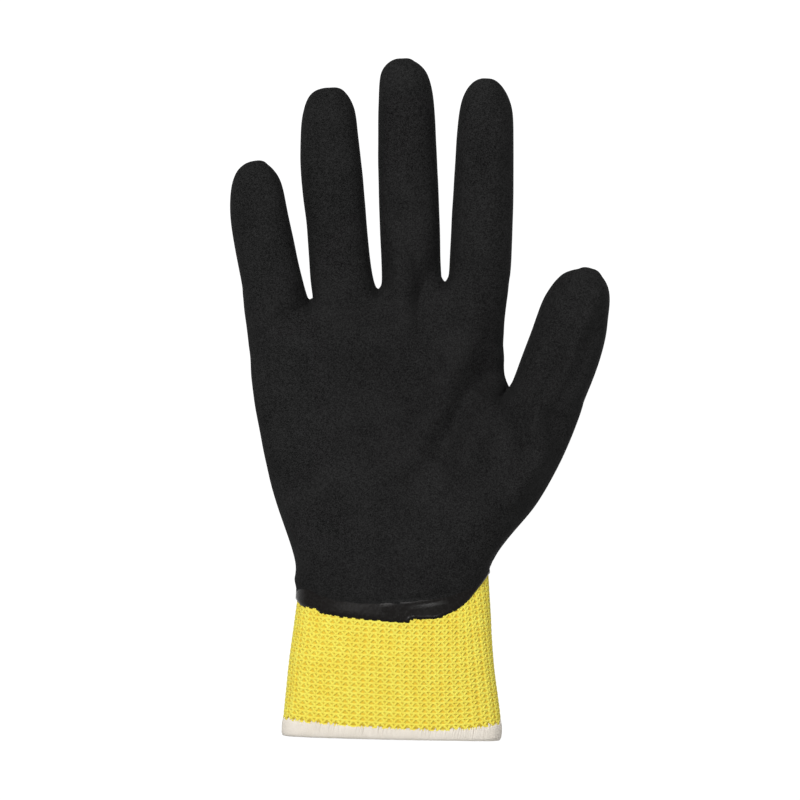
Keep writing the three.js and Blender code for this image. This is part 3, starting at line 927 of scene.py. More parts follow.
@dataclass
class SmoothHand:
    """Makes the smooth surface from the cage, at any fineness.

    The swells begin at swell_from up the hand and are full swell_run above it. They and the
    folds fade where the surface turns down: a rate says how fast, and fold_lean how late.
    """

    cage: HandCage
    fit_rounds: int = 4
    swell: float = 0.22
    swell_size: float = 17.0
    swell_seed: float = 3.1
    swell_from: float = -66.0
    swell_run: float = 14.0
    swell_rate: float = 1.6
    fold_rate: float = 1.5
    fold_lean: float = 0.2

    def __post_init__(self) -> None:
        """Fits the cage so that its smooth surface passes through the sections."""
        goal = np.array([tuple(point) for point in self.cage.points])
        self.held = goal.copy()
        for _ in range(self.fit_rounds):
            mesh = self.subdivided(level=1)
            found = np.array([tuple(v.co) for v in mesh.vertices[:len(goal)]])
            bpy.data.meshes.remove(mesh)
            self.held += goal - found

    def subdivided(self, level: int) -> bpy.types.Mesh:
        """The cage's smooth surface as a Blender mesh, in millimetres.

        Args:
            level: How many times the cage is divided.

        Returns:
            The mesh. A face's material number is its label.
        """
        mesh = bpy.data.meshes.new("cage")
        faces = [list(corners) for corners, _, _ in self.cage.faces]
        mesh.from_pydata(self.held.tolist(), [], faces)
        for polygon, (_, part, cover) in zip(mesh.polygons, self.cage.faces):
            polygon.material_index = PARTS.index(part) * COVERS + cover.smooth * 2 + cover.grip
        for _ in range(COVERS * len(PARTS)):
            mesh.materials.append(None)
        thing = linked("cage", mesh)
        smoother = thing.modifiers.new("smooth", "SUBSURF")
        smoother.levels = level
        smoother.use_limit_surface = True
        smoother.boundary_smooth = "PRESERVE_CORNERS"
        shown = thing.evaluated_get(bpy.context.evaluated_depsgraph_get())
        result = bpy.data.meshes.new_from_object(shown)
        bpy.data.objects.remove(thing)
        bpy.data.meshes.remove(mesh)
        return result

    def folded(self, spots: Points, normals: Points) -> Points:
        """The points moved by the swells and the folds of the palm's face.

        Args:
            spots: The points, in millimetres.
            normals: Their normals.

        Returns:
            The moved points. The folds move them straight up or down.
        """
        above = smooth_step((spots[:, 1] - self.swell_from) / self.swell_run)
        swell = self.swell * wander(spots, self.swell_size, self.swell_seed) * above
        facing = smooth_step(normals[:, 2] * self.swell_rate)
        moved = spots + normals * (swell * facing)[:, None]
        for fold in FOLDS:
            away = line_distance(spots[:, :2], np.array(fold.line))
            lift = fold.height * np.exp(-(away / fold.half_width) ** 2)
            moved[:, 2] += lift * smooth_step((normals[:, 2] + self.fold_lean) * self.fold_rate)
        return moved

    def surface(self, level: int) -> Surface:
        """The smooth surface with its folds.

        Args:
            level: How many times the cage is divided.

        Returns:
            The surface.
        """
        mesh = self.subdivided(level)
        spots = np.empty(len(mesh.vertices) * 3)
        mesh.vertices.foreach_get("co", spots)
        spots = spots.reshape(-1, 3)
        normals = np.array([tuple(n.vector) for n in mesh.vertex_normals])
        quads = np.empty(len(mesh.loops), int)
        mesh.loops.foreach_get("vertex_index", quads)
        quads = quads.reshape(-1, 4)
        labels = np.empty(len(mesh.polygons), int)
        mesh.polygons.foreach_get("material_index", labels)
        spots = self.folded(spots, normals)
        mesh.vertices.foreach_set("co", spots.ravel())
        mesh.update()
        normals = np.array([tuple(n.vector) for n in mesh.vertex_normals])
        bpy.data.meshes.remove(mesh)
        return Surface(
            spots, normals, quads, labels // COVERS, labels // 2 % 2 == 1, labels % 2 == 1)


# Making pieces


def make_piece(
    name: str, points: Points, faces: Iterable[Sequence[int]], material: bpy.types.Material,
    slot: Slot, nodes: Sequence[str], uv: Optional[Points] = None,
) -> bpy.types.Object:
    """Makes one piece of the glove and ties it to the frame.

    Args:
        name: The piece's name.
        points: Its points, in millimetres. Those near the floor are pressed flat on it.
        faces: Its faces.
        material: Its material.
        slot: The record's slot that its finish belongs to. It is not used.
        nodes: The solids that it stands for.
        uv: The place of each face's corner along and round the yarn, where it has one.

    Returns:
        The piece.
    """
    mesh = bpy.data.meshes.new(name)
    points = np.array(points)
    near = points[:, 2] < PRESSED
    points[near, 2] = PRESSED * np.exp(points[near, 2] / PRESSED - 1)
    mesh.from_pydata((points * MM).tolist(), [], [list(map(int, face)) for face in faces])
    mesh.shade_smooth()
    if uv is not None:
        mesh.uv_layers.new(name="yarn").uv.foreach_set("vector", uv.astype(np.float32).ravel())
    mesh.materials.append(material)
    mesh.validate()
    piece = linked(name, mesh)
    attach(piece, BODY)
    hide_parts(*nodes)
    LOG.info("%s: %d points, %d faces", name, len(mesh.vertices), len(mesh.polygons))
    return piece


@dataclass
class Tubes:
    """Gathers round strands into the points, faces and yarn places of one mesh."""

    sides: int = 6
    points: list[Points] = field(default_factory=list)
    faces: list[list[int]] = field(default_factory=list)
    corners: list[Points] = field(default_factory=list)
    count: int = 0

    def add(self, path: Points, normals: Points, radius: Points, along: Points) -> None:
        """Adds one strand with closed ends.

        Args:
            path: The points of its middle line, in millimetres.
            normals: The direction away from the cloth at each of them.
            radius: Its radius at each of them.
            along: The place along the yarn of each of them.
        """
        tangent = np.gradient(path, axis=0)
        tangent /= np.linalg.norm(tangent, axis=1, keepdims=True)
        aside = np.cross(tangent, normals)
        aside /= np.linalg.norm(aside, axis=1, keepdims=True)
        up = np.cross(aside, tangent)
        angles = np.arange(self.sides) * 2 * math.pi / self.sides
        ring = up[:, None] * np.cos(angles)[None, :, None]
        ring = ring + aside[:, None] * np.sin(angles)[None, :, None]
        skin = path[:, None] + ring * radius[:, None, None]
        rows, n = len(path), self.sides
        i, j = np.meshgrid(np.arange(rows - 1), np.arange(n), indexing="ij")
        i, j = i.ravel(), j.ravel()
        k = (j + 1) % n
        quads = np.stack([i * n + j, (i + 1) * n + j, (i + 1) * n + k, i * n + k], axis=1)
        self.faces += (quads + self.count).tolist()
        start, end = along[i], along[i + 1]
        uv = np.stack([start, j / n, end, j / n, end, (j + 1) / n, start, (j + 1) / n], axis=1)
        self.corners.append(uv.reshape(-1, 2))
        for row, order in ((0, range(n)), (rows - 1, range(n - 1, -1, -1))):
            self.faces.append([self.count + row * n + k for k in order])
            self.corners.append(np.tile((along[row], 0.5), (n, 1)))
        self.points.append(skin.reshape(-1, 3))
        self.count += rows * n

    def piece(
        self, name: str, material: bpy.types.Material, slot: Slot, nodes: Sequence[str],
    ) -> bpy.types.Object:
        """Makes the gathered strands one piece.

        Args:
            name: The piece's name.
            material: Its material.
            slot: The record's slot that its finish belongs to.
            nodes: The solids that it stands for.

        Returns:
            The piece.
        """
        return make_piece(
            name, np.concatenate(self.points), self.faces, material, slot, nodes,
            np.concatenate(self.corners))


# The knit


@dataclass(frozen=True)
class Stitch:
    """One loop of the plain knit, in millimetres, with its head towards the cuff's end.

    lean and spread are shares of a wale's width: how far the legs slant, and how far they
    stand apart. middle and depth are the yarn's place under the liner's face and how far its
    arcs lie behind its legs. uneven is how much the loops differ, and each play how much of
    it goes into their slant, height and depth.
    """

    wale: float = 3.2
    course: float = 2.03
    height: float = 2.3
    lean: float = 0.285
    spread: float = 0.095
    middle: float = -0.3
    depth: float = 0.06
    radius: float = 0.56
    thinning: float = 0.08
    uneven: float = 0.03
    slant_play: float = 0.4
    height_play: float = 0.5
    depth_play: float = 0.3
    samples: int = 12

    def path(self, wales: int, ease: Points) -> tuple[Points, Points, Points, Points]:
        """The yarn's line through a course.

        Args:
            wales: How many loops it has.
            ease: Three rows of small changes of the loops' slant, height and depth.

        Returns:
            The place across in wales, the height from the course's middle, the offset from
            the liner's face and the radius, at each of its points.
        """
        step = np.arange(wales * self.samples + 1)
        phase = step * 2 * math.pi / self.samples
        owner = np.minimum(step // self.samples, wales - 1)
        slant, tall, deep = ease[:, owner]
        across = step / self.samples - self.spread * np.sin(phase)
        across += (self.lean + slant * self.slant_play) * np.sin(2 * phase)
        height = self.height * (1 + tall * self.height_play) / 2 * np.cos(phase)
        offset = self.middle - self.depth * np.cos(2 * phase) + deep * self.depth_play
        radius = self.radius * (1 - self.thinning * np.sin(phase) ** 2)
        return across, height, offset, radius


@dataclass
class Weave:
    """The lie of the wales and courses round the hand: a place for each wale and height.

    rows holds, for each section from the hem up, the points of all the wales, with fineness
    points to a wale. low and high are the heights between which the wales are laid, step by
    step, and margin keeps a place inside the last cell.
    """

    surface: Surface
    rows: Points
    low: float
    high: float
    step: float = 0.5
    fineness: int = 8
    margin: float = 1.001

    def __post_init__(self) -> None:
        """Lays a fine grid of wales and heights on the smooth surface."""
        faces = self.surface.quads.tolist()
        tree = BVHTree.FromPolygons(self.surface.spots.tolist(), faces)
        self.heights = np.arange(self.low, self.high + self.step, self.step)
        count = self.rows.shape[1]
        self.spots = np.empty((count, len(self.heights), 3))
        self.normals = np.empty_like(self.spots)
        for k in range(count):
            line = self.rows[:, k]
            x = np.interp(self.heights, line[:, 1], line[:, 0])
            z = np.interp(self.heights, line[:, 1], line[:, 2])
            for m, spot in enumerate(zip(x, self.heights, z)):
                found, normal, _, _ = tree.find_nearest(spot)
                self.spots[k, m] = found
                self.normals[k, m] = normal

    def at(self, wale: Points, height: Points) -> tuple[Points, Points]:
        """Finds places on the surface.

        Args:
            wale: Their wales, with fractions.
            height: Their heights along the hand.

        Returns:
            The surface's points and normals there.
        """
        k = np.clip(wale * self.fineness, 0, len(self.spots) - self.margin)
        m = np.clip((height - self.low) / self.step, 0, len(self.heights) - self.margin)
        k0, m0 = k.astype(int), m.astype(int)
        a, b = (k - k0)[:, None], (m - m0)[:, None]

        def mixed(grid: Points) -> Points:
            """Reads a grid between its four nearest points.

            Args:
                grid: The values at the grid's points.

            Returns:
                The values at the places.
            """
            near = grid[k0, m0] * (1 - b) + grid[k0, m0 + 1] * b
            far = grid[k0 + 1, m0] * (1 - b) + grid[k0 + 1, m0 + 1] * b
            return near * (1 - a) + far * a

        normals = mixed(self.normals)
        return mixed(self.spots), normals / np.linalg.norm(normals, axis=1, keepdims=True)


def resampled(line: Points, count: int) -> Points:
    """Divides a line into equal lengths.

    Args:
        line: The line's points.
        count: How many lengths it is divided into.

    Returns:
        The points at their ends.
    """
    lengths = np.concatenate([[0], np.cumsum(np.linalg.norm(np.diff(line, axis=0), axis=1))])
    goals = np.linspace(0, lengths[-1], count + 1)
    return np.stack([np.interp(goals, lengths, line[:, axis]) for axis in range(3)], axis=1)


@dataclass
class Knit:
    """The knitted liner: yarn loops where it shows, over a thin ground all through.

    cuff_top and panel_top are the heights to which there is yarn, and the weaves begin at the
    two lows and end spare above those tops. Yarn deeper than hidden under a coat's edge is
    left out.
    """

    cage: HandCage
    fine: Surface
    coat_depth: Points
    stitch: Stitch = field(default_factory=Stitch)
    ground_outer: float = -0.2
    ground_inner: float = -0.95
    cuff_low: float = -128.0
    cuff_top: float = -61.0
    panel_low: float = -70.0
    panel_top: float = 24.0
    spare: float = 3.0
    hidden: float = 2.4
    seed: int = 11

    def __post_init__(self) -> None:
        """Divides the hand into wales and lays them on the surface."""
        points = np.array([tuple(point) for point in self.cage.points])
        loops = [points[ring.loop() + [ring.left]] for ring in self.cage.rings]
        numbers = {position: i for i, position in enumerate(self.cage.ring_at)}
        cuff = loops[numbers[CUFF_ROW]]
        # A ring's stretches are the palm up to the thumb's seam, the thumb's side and the back
        seam, side = self.cage.seam + 1, 2 * self.cage.finger_columns + 2
        stretches = ((0, seam), (seam, seam + side), (seam + side, seam + side + seam))
        self.counts = []
        for a, b in stretches:
            length = np.linalg.norm(np.diff(cuff[a:b + 1], axis=0), axis=1).sum()
            self.counts.append(round(length / self.stitch.wale))
        fineness = Weave.fineness

        def divided(loop: Points) -> Points:
            """Divides each stretch of a ring into its wales.

            Args:
                loop: The ring's points.

            Returns:
                The points at the wales, fineness to a wale.
            """
            parts = [
                resampled(loop[a:b + 1], count * fineness)[:-1]
                for (a, b), count in zip(stretches, self.counts)]
            return np.concatenate([*parts, loop[-1:]])

        tail = (points[[*reversed(ring.back), ring.left]] for ring in self.cage.uppers[1:])
        panel = [loop[seam + side:] for loop in loops] + list(tail)
        panel_rows = np.array([resampled(row, self.counts[2] * fineness) for row in panel])
        cuff_rows = np.array([divided(loop) for loop in loops])
        self.first_back = sum(self.counts[:2])
        self.cuff = Weave(self.fine, cuff_rows, self.cuff_low, self.cuff_top + self.spare)
        self.panel = Weave(
            self.fine, panel_rows, self.panel_low, self.panel_top + self.spare)
        self.hem_line = cuff_rows[numbers[HEM_TOP]]
        self.end_line = cuff_rows[numbers[HEM_END]]
        self.wales = sum(self.counts)
        self.tree = tree_of(self.fine.spots)

    def base_height(self, wale: Points) -> Points:
        """The height of the hem's top at each wale."""
        k = np.arange(len(self.hem_line)) / Weave.fineness
        return np.interp(wale, k, self.hem_line[:, 1])

    def shows(self, spots: Points) -> Points:
        """Whether each place is bare, or close enough to the coat's edge to show."""
        depth = [self.coat_depth[self.tree.find(spot)[1]] for spot in spots]
        return np.array(depth) < self.hidden

    def course(
        self, tubes: Tubes, weave: Weave, number: int, first: float, wales: int,
        chance: np.random.Generator,
    ) -> None:
        """Adds the yarn of one course, wherever it shows.

        Args:
            tubes: The strands that it is added to.
            weave: Where its wales lie.
            number: The course's number from the hem.
            first: The number of the weave's first wale, counted round the cuff.
            wales: How many wales the weave has.
            chance: The source of the stitches' unevenness.
        """
        n = self.stitch.samples
        ease = chance.normal(0, self.stitch.uneven, (3, wales))
        across, rise, offset, radius = self.stitch.path(wales, ease)
        along = np.arange(len(across)) / n
        base = self.base_height(first + along) + (number + 0.5) * self.stitch.course
        path, normals = weave.at(np.clip(across, 0, wales), base + rise)
        path = path + normals * offset[:, None]
        centres, _ = weave.at(np.arange(wales) + 0.5, base[n // 2::n][:wales])
        keep = self.shows(centres)
        start = 0
        while start < wales:
            if not keep[start]:
                start += 1
                continue
            stop = start
            while stop < wales and keep[stop]:
                stop += 1
            cut = slice(start * n, stop * n + 1)
            tubes.add(path[cut], normals[cut], radius[cut], along[cut])
            start = stop

    def dress(self, finishes: "Finishes") -> None:
        """Makes the cuff's and the back panel's yarn.

        Args:
            finishes: The glove's materials.
        """
        chance = np.random.default_rng(self.seed)
        pitch = self.stitch.course
        base = self.base_height(np.array([self.first_back + self.counts[2] / 2]))[0]
        split = round((self.cuff_top - base) / pitch)
        last = round((self.panel_top - base) / pitch)
        cuff = Tubes()
        for number in range(split):
            self.course(cuff, self.cuff, number, 0, self.wales, chance)
        cuff.piece("cuff_yarn", finishes.yarn, Slot.YELLOW_KNIT, [Part.CUFF.value])
        panel = Tubes()
        for number in range(split, last):
            self.course(panel, self.panel, number, self.first_back, self.counts[2], chance)
        panel.piece("back_panel_yarn", finishes.yarn, Slot.YELLOW_KNIT, [Part.PALM.value])

    def line(self, ground: Surface, finishes: "Finishes") -> None:
        """Makes the thin ground behind the yarn, a piece for each part of the liner.

        Args:
            ground: The surface that it lies under.
            finishes: The glove's materials.
        """
        outer = np.full(len(ground.spots), self.ground_outer)
        inner = np.full(len(ground.spots), self.ground_inner)
        for part in (Part.CUFF, Part.PALM, *STALLS):
            chosen = ground.parts == PARTS.index(part)
            points, quads = ground.shell(chosen, outer, inner)
            name = part.value.replace("_knit", "_ground")
            # The ground's darker ochre is partly the inner ply's own orange and partly painted
            # shade of the openings between the loops
            make_piece(name, points, quads, finishes.ground, Slot.YELLOW_KNIT, [part.value])


# The coats


@dataclass(frozen=True)
class Film:
    """How a dipped film lies, in millimetres.

    It rises from low, reach_out outside its edge, to full, reach_in inside it. ragged is how
    far its edge strays over a length of ragged_size, and uneven how much its face swells.
    """

    full: float
    low: float
    inner: float
    reach_out: float
    reach_in: float
    ragged: float
    ragged_size: float
    uneven: float = 0.07
    uneven_size: float = 10.0
    edge_seed: float = 7.7
    face_seed: float = 1.3

    def outer(self, surface: Surface, depth: Points) -> Points:
        """The offset of its face at each point of the surface.

        Args:
            surface: The surface that it lies on.
            depth: How far each point lies inside its edge.

        Returns:
            The offsets.
        """
        edge = depth + self.ragged * wander(surface.spots, self.ragged_size, self.edge_seed)
        share = smooth_step((edge + self.reach_out) / (self.reach_out + self.reach_in))
        face = self.full + self.uneven * wander(
            surface.spots, self.uneven_size, self.face_seed)
        return self.low + (face - self.low) * share

    def chosen(self, surface: Surface, depth: Points, spare: float = 0.1) -> Points:
        """The faces that it covers, to a little outside its edge."""
        return depth[surface.quads].max(axis=1) > -(self.reach_out + self.ragged + spare)


# The lines across the wrist hold up to this height, and where the surface faces up by this
WRIST_REACH = -50.0
WRIST_FACING = 0.15


def wrist_depth(surface: Surface, depth: Points, line: Points) -> Points:
    """A coat's depth with its edge across the wrist drawn by a line in plan.

    Args:
        surface: The surface that the coat lies on.
        depth: How far each point lies inside the coat's labelled faces.
        line: The line's points, from the left to the right.

    Returns:
        The depth, which follows the line on the palm's side.
    """
    spots = surface.spots
    away = line_distance(spots[:, :2], line)
    inside = spots[:, 1] > np.interp(spots[:, 0], line[:, 0], line[:, 1])
    palm = np.where(inside, away, -away)
    near = (spots[:, 1] < WRIST_REACH) & (surface.normals[:, 2] > 0)
    share = np.where(near, smooth_step(surface.normals[:, 2] / WRIST_FACING), 0.0)
    return depth * (1 - share) + palm * share


@dataclass
class Coats:
    """The two dipped films: a smooth one round the hand, and a sandy one over it on the palm.

    The smooth film is a skin thick, and thins out inside the ground. The sandy film's offsets
    are from the smooth film's face.
    """

    smooth: Film = Film(
        full=SMOOTH_TO, low=-0.74, inner=-0.86, reach_out=0.85, reach_in=1.05, ragged=0.25,
        ragged_size=2.4)
    grip: Film = Film(
        full=GRIP_TO - SMOOTH_TO, low=-0.15, inner=-0.5, reach_out=0.85, reach_in=4.4,
        ragged=0.3, ragged_size=3.0)
    skin: float = 0.55

    def smooth_depth(self, surface: Surface) -> Points:
        """How far each point lies inside the smooth coat's edge."""
        return wrist_depth(surface, surface.rim_depth(surface.smooth), COAT_LINE)

    def grip_depth(self, surface: Surface) -> Points:
        """How far each point lies inside the sandy coat's edge."""
        return wrist_depth(surface, surface.rim_depth(surface.grip), GRIP_LINE)

    def dress(self, surface: Surface, fine: Surface, finishes: "Finishes") -> None:
        """Makes both films.

        Args:
            surface: The surface that the smooth coat lies on.
            fine: The finer surface that the sandy coat lies on.
            finishes: The glove's materials.
        """
        depth = self.smooth_depth(surface)
        outer = self.smooth.outer(surface, depth)
        chosen = self.smooth.chosen(surface, depth)
        inner = np.maximum(outer - self.skin, self.smooth.inner)
        points, quads = surface.shell(chosen, outer, inner)
        make_piece(
            "smooth_coat_film", points, quads, finishes.smooth, Slot.SMOOTH_RUBBER,
            ["smooth_coat"])
        base = self.smooth.outer(fine, self.smooth_depth(fine))
        depth = self.grip_depth(fine)
        outer = base + self.grip.outer(fine, depth)
        chosen = self.grip.chosen(fine, depth)
        points, quads = fine.shell(chosen, outer, base + self.grip.inner)
        make_piece(
            "grip_coat_film", points, quads, finishes.sandy, Slot.SANDY_RUBBER, ["grip_coat"])


# The hem


@dataclass
class Hem:
    """The overlocked end of the cuff: a flat roll, wound over with threads.

    section and wound are lines round the roll, each point a share of the way from the cuff's
    end to the hem's top and an offset from the liner's face. A thread starts with the points
    of head, whose shares count from its own top, and goes on along wound. slant is in wales.
    A play is how much a thread's slant, start or thickness varies, and thinned how thick its
    two ends are. yarn_length and yarn_shift place the fibres along a thread and from one
    thread to the next.
    """

    knit: Knit
    roll_fineness: int = 6
    thread_sides: int = 5
    thread_step: float = 0.42
    thread_radius: float = 0.36
    ragged: float = 0.1
    slant: float = 0.22
    slant_play: float = 0.15
    start_play: float = 0.08
    thick_play: float = 0.05
    thinned: float = 0.6
    yarn_length: float = 2.5
    yarn_shift: float = 0.37
    seed: int = 5
    section: tuple[tuple[float, float], ...] = (
        (0.20, -1.45), (0.05, -1.2), (0.0, -0.6), (0.08, -0.05), (0.3, 0.1), (0.6, 0.1),
        (0.85, 0.05), (0.97, -0.2), (0.97, -1.1), (0.6, -1.45))
    head: tuple[tuple[float, float], ...] = ((0.0, -0.35), (-0.12, 0.05))
    wound: tuple[tuple[float, float], ...] = (
        (0.75, 0.16), (0.45, 0.2), (0.18, 0.14), (0.02, -0.25), (0.0, -0.8), (0.1, -1.35),
        (0.4, -1.6), (0.85, -1.6))

    def place(self, wale: Points, share: Points, offset: Points) -> tuple[Points, Points]:
        """Points of the hem.

        Args:
            wale: Their places round the cuff, in wales.
            share: 0 at the cuff's end, and 1 at the hem's top.
            offset: How far they lie out of the liner's face.

        Returns:
            The points and the directions away from the cloth.
        """
        k = np.arange(len(self.knit.end_line)) / Weave.fineness
        end = np.interp(wale, k, self.knit.end_line[:, 1])
        top = np.interp(wale, k, self.knit.hem_line[:, 1])
        spots, normals = self.knit.cuff.at(wale, end + (top - end) * share)
        return spots + normals * offset[:, None], normals

    def roll(self, finishes: "Finishes") -> None:
        """Makes the roll under the threads.

        Args:
            finishes: The glove's materials.
        """
        wales = self.knit.wales
        around = np.linspace(0, wales, wales * self.roll_fineness + 1)[:-1]
        rows = [
            self.place(around, np.full(len(around), share), np.full(len(around), offset))[0]
            for share, offset in self.section]
        points = np.concatenate(rows)
        count = len(around)
        faces = []
        for row in range(len(rows)):
            up = (row + 1) % len(rows)
            for i in range(count):
                j = (i + 1) % count
                faces.append((row * count + i, row * count + j, up * count + j, up * count + i))
        make_piece(
            "hem_roll", points, faces, finishes.thread, Slot.WHITE_THREAD, [Part.HEM.value])

    def wind(self, finishes: "Finishes") -> None:
        """Makes the threads that are wound over the roll.

        Args:
            finishes: The glove's materials.
        """
        chance = np.random.default_rng(self.seed)
        tubes = Tubes(sides=self.thread_sides)
        wales = self.knit.wales
        count = round(wales * self.knit.stitch.wale / self.thread_step)
        radius = self.thread_radius
        for i in range(count):
            top = 1.0 + abs(chance.normal(0, self.ragged))
            lean = self.slant * chance.normal(1.0, self.slant_play)
            start = (i + chance.normal(0, self.start_play)) * wales / count
            head = [(top + rise, offset) for rise, offset in self.head]
            share, offset = np.array((*head, *self.wound)).T
            wale = (start + lean * share) % wales
            # A thread that crosses the first wale would be drawn right round the cuff
            if wale.max() - wale.min() > wales / 2:
                continue
            path, normals = self.place(wale, share, offset)
            thick = np.full(len(path), radius * (1 + chance.normal(0, self.thick_play)))
            thick[[0, -1]] *= self.thinned
            tubes.add(path, normals, thick, share * self.yarn_length + i * self.yarn_shift)
        tubes.piece("hem_threads", finishes.thread, Slot.WHITE_THREAD, [Part.HEM.value])

    def dress(self, finishes: "Finishes") -> None:
        """Makes the roll and its threads."""
        self.roll(finishes)
        self.wind(finishes)


# Finishes


Colour = tuple[float, float, float, float]


def grey(value: float) -> Colour:
    """An opaque grey."""
    return (value, value, value, 1.0)


@dataclass(frozen=True)
class YarnFinish:
    """A soft textile: a light and a deep colour, and its fibres. The deep colour is painted shade
    in the low spots of the fibres' relief, mixed with a random drift of tone.

    turns is how often the fibres turn in a unit along the yarn, fuzz how far they stand out
    in metres, and relief how strongly they show.
    """

    name: str
    light: Colour
    deep: Colour
    roughness: float
    sheen: float
    turns: float
    fuzz: float
    specular: float = 0.06
    relief: float = 0.9


@dataclass(frozen=True)
class RubberFinish:
    """A dipped rubber: its greys and gloss, and its grain and dents.

    grain and dent are their sizes in millimetres, and the two depths are in metres.
    """

    name: str
    low: Colour
    high: Colour
    roughness: tuple[float, float]
    specular: float
    grain: float
    grain_depth: float
    dent: float
    dent_depth: float


YELLOW_YARN = YarnFinish(
    "yellow_yarn", light=(0.59, 0.54, 0.082, 1), deep=(0.57, 0.455, 0.05, 1), roughness=0.9,
    sheen=0.04, turns=3.0, fuzz=0.00006)
# The ground's darker ochre is partly the inner ply's own orange and partly painted shade of the
# openings between the loops
YELLOW_GROUND_AND_PAINTED_SHADE = YarnFinish(
    "yellow_ground", light=(0.55, 0.39, 0.04, 1), deep=(0.50, 0.335, 0.032, 1), roughness=0.95,
    sheen=0.0, turns=1.0, fuzz=0.0001)
WHITE_THREAD = YarnFinish(
    "white_thread", light=(0.57, 0.53, 0.475, 1), deep=(0.50, 0.46, 0.40, 1), roughness=0.9,
    sheen=0.12, turns=3.0, fuzz=0.00005)
SANDY_RUBBER = RubberFinish(
    "sandy_rubber", low=grey(0.0), high=grey(0.018), roughness=(0.8, 1.0), specular=0.06,
    grain=0.27, grain_depth=0.00006, dent=2.2, dent_depth=0.00005)
SMOOTH_RUBBER = RubberFinish(
    "smooth_rubber", low=(0.0065, 0.0058, 0.0055, 1), high=(0.009, 0.0083, 0.008, 1),
    roughness=(0.22, 0.31), specular=0.085, grain=0.8, grain_depth=0.00001, dent=2.8,
    dent_depth=0.00006)

# The fibres: the plies of a strand, the scales of their noise and of the colour's drift, and what
# each adds to the height and to the shade. The fine noise's part of the shade is painted shade in
# the low spots of the fibres' relief, and the drift's part is random tone.
PLIES = 3.0
FIBRE_SCALE = 5200.0
DRIFT_SCALE = 190.0
PLY_HEIGHT, FIBRE_HEIGHT = 0.6, 0.5
FIBRE_PAINTED_SHADE, DRIFT_SHADE = 0.35, 0.65

# The grain: how drawn out the dents are, the scale of the broad mottle, and what the crumbs
# and the broad mottle add to the mottle
DENT_STRETCH = (0.35, 1, 1)
BROAD_SCALE = 60.0
CRUMB_MOTTLE, BROAD_MOTTLE = 0.8, 0.2

# The stretch of a soft noise that a wide range is made of
NOISE_RANGE = (0.3, 0.7)


class Graph:
    """A node tree, with short ways to add its nodes and join them."""

    def __init__(self, tree: bpy.types.NodeTree) -> None:
        """Takes an empty or a new tree."""
        self.tree = tree

    def add(self, kind: str, inputs: Optional[dict] = None, **settings: object) -> bpy.types.Node:
        """Adds a node.

        Args:
            kind: The node's type.
            inputs: For its input sockets, by name or number, a value or a socket to join.
            settings: Its own properties.

        Returns:
            The node.
        """
        node = self.tree.nodes.new(kind)
        for key, value in settings.items():
            setattr(node, key, value)
        for key, value in (inputs or {}).items():
            if isinstance(value, bpy.types.NodeSocket):
                self.tree.links.new(value, node.inputs[key])
            else:
                node.inputs[key].default_value = value
        return node

    def maths(self, operation: str, a: object, b: object = 0.0) -> bpy.types.NodeSocket:
        """The result of an operation on a and b, each a number or a socket."""
        return self.add("ShaderNodeMath", {0: a, 1: b}, operation=operation).outputs[0]

    def noise(
        self, vector: bpy.types.NodeSocket, scale: object, detail: float, rough: float = 0.55,
    ) -> bpy.types.NodeSocket:
        """Adds soft noise between 0 and 1.

        Args:
            vector: The place.
            scale: How many swells there are in a metre, or a socket.
            detail: How many finer noises are laid over it.
            rough: How strong each of them is.

        Returns:
            The noise.
        """
        return self.add("ShaderNodeTexNoise", {
            "Vector": vector, "Scale": scale, "Detail": detail, "Roughness": rough}).outputs[0]

    def ranged(
        self, value: bpy.types.NodeSocket, low: float, high: float, to_low: float = 0.0,
        to_high: float = 1.0,
    ) -> bpy.types.NodeSocket:
        """Moves a value from one range to another, and holds it inside that.

        Args:
            value: The value.
            low: Where the first range begins.
            high: Where it ends.
            to_low: Where the other range begins.
            to_high: Where it ends.

        Returns:
            The moved value.
        """
        return self.add("ShaderNodeMapRange", {
            "Value": value, "From Min": low, "From Max": high, "To Min": to_low,
            "To Max": to_high}).outputs["Result"]

    def mixed(
        self, factor: bpy.types.NodeSocket, a: object, b: object,
    ) -> bpy.types.NodeSocket:
        """A colour between a and b. The node's sockets for colours are 6, 7 and 2."""
        return self.add("ShaderNodeMix", {0: factor, 6: a, 7: b}, data_type="RGBA").outputs[2]


def new_group(
    name: str, inputs: dict[str, object], outputs: Sequence[str],
) -> tuple[Graph, bpy.types.Node, bpy.types.Node]:
    """Makes an empty shader node group.

    Args:
        name: The group's name.
        inputs: Its input sockets with their values. A value of None makes a vector.
        outputs: Its output sockets, all numbers.

    Returns:
        The graph, its input node and its output node.
    """
    tree = bpy.data.node_groups.new(name, "ShaderNodeTree")
    for key, value in inputs.items():
        kind = "NodeSocketVector" if value is None else "NodeSocketFloat"
        socket = tree.interface.new_socket(name=key, in_out="INPUT", socket_type=kind)
        if value is not None:
            socket.default_value = value
    for key in outputs:
        tree.interface.new_socket(name=key, in_out="OUTPUT", socket_type="NodeSocketFloat")
    graph = Graph(tree)
    return graph, graph.add("NodeGroupInput"), graph.add("NodeGroupOutput")


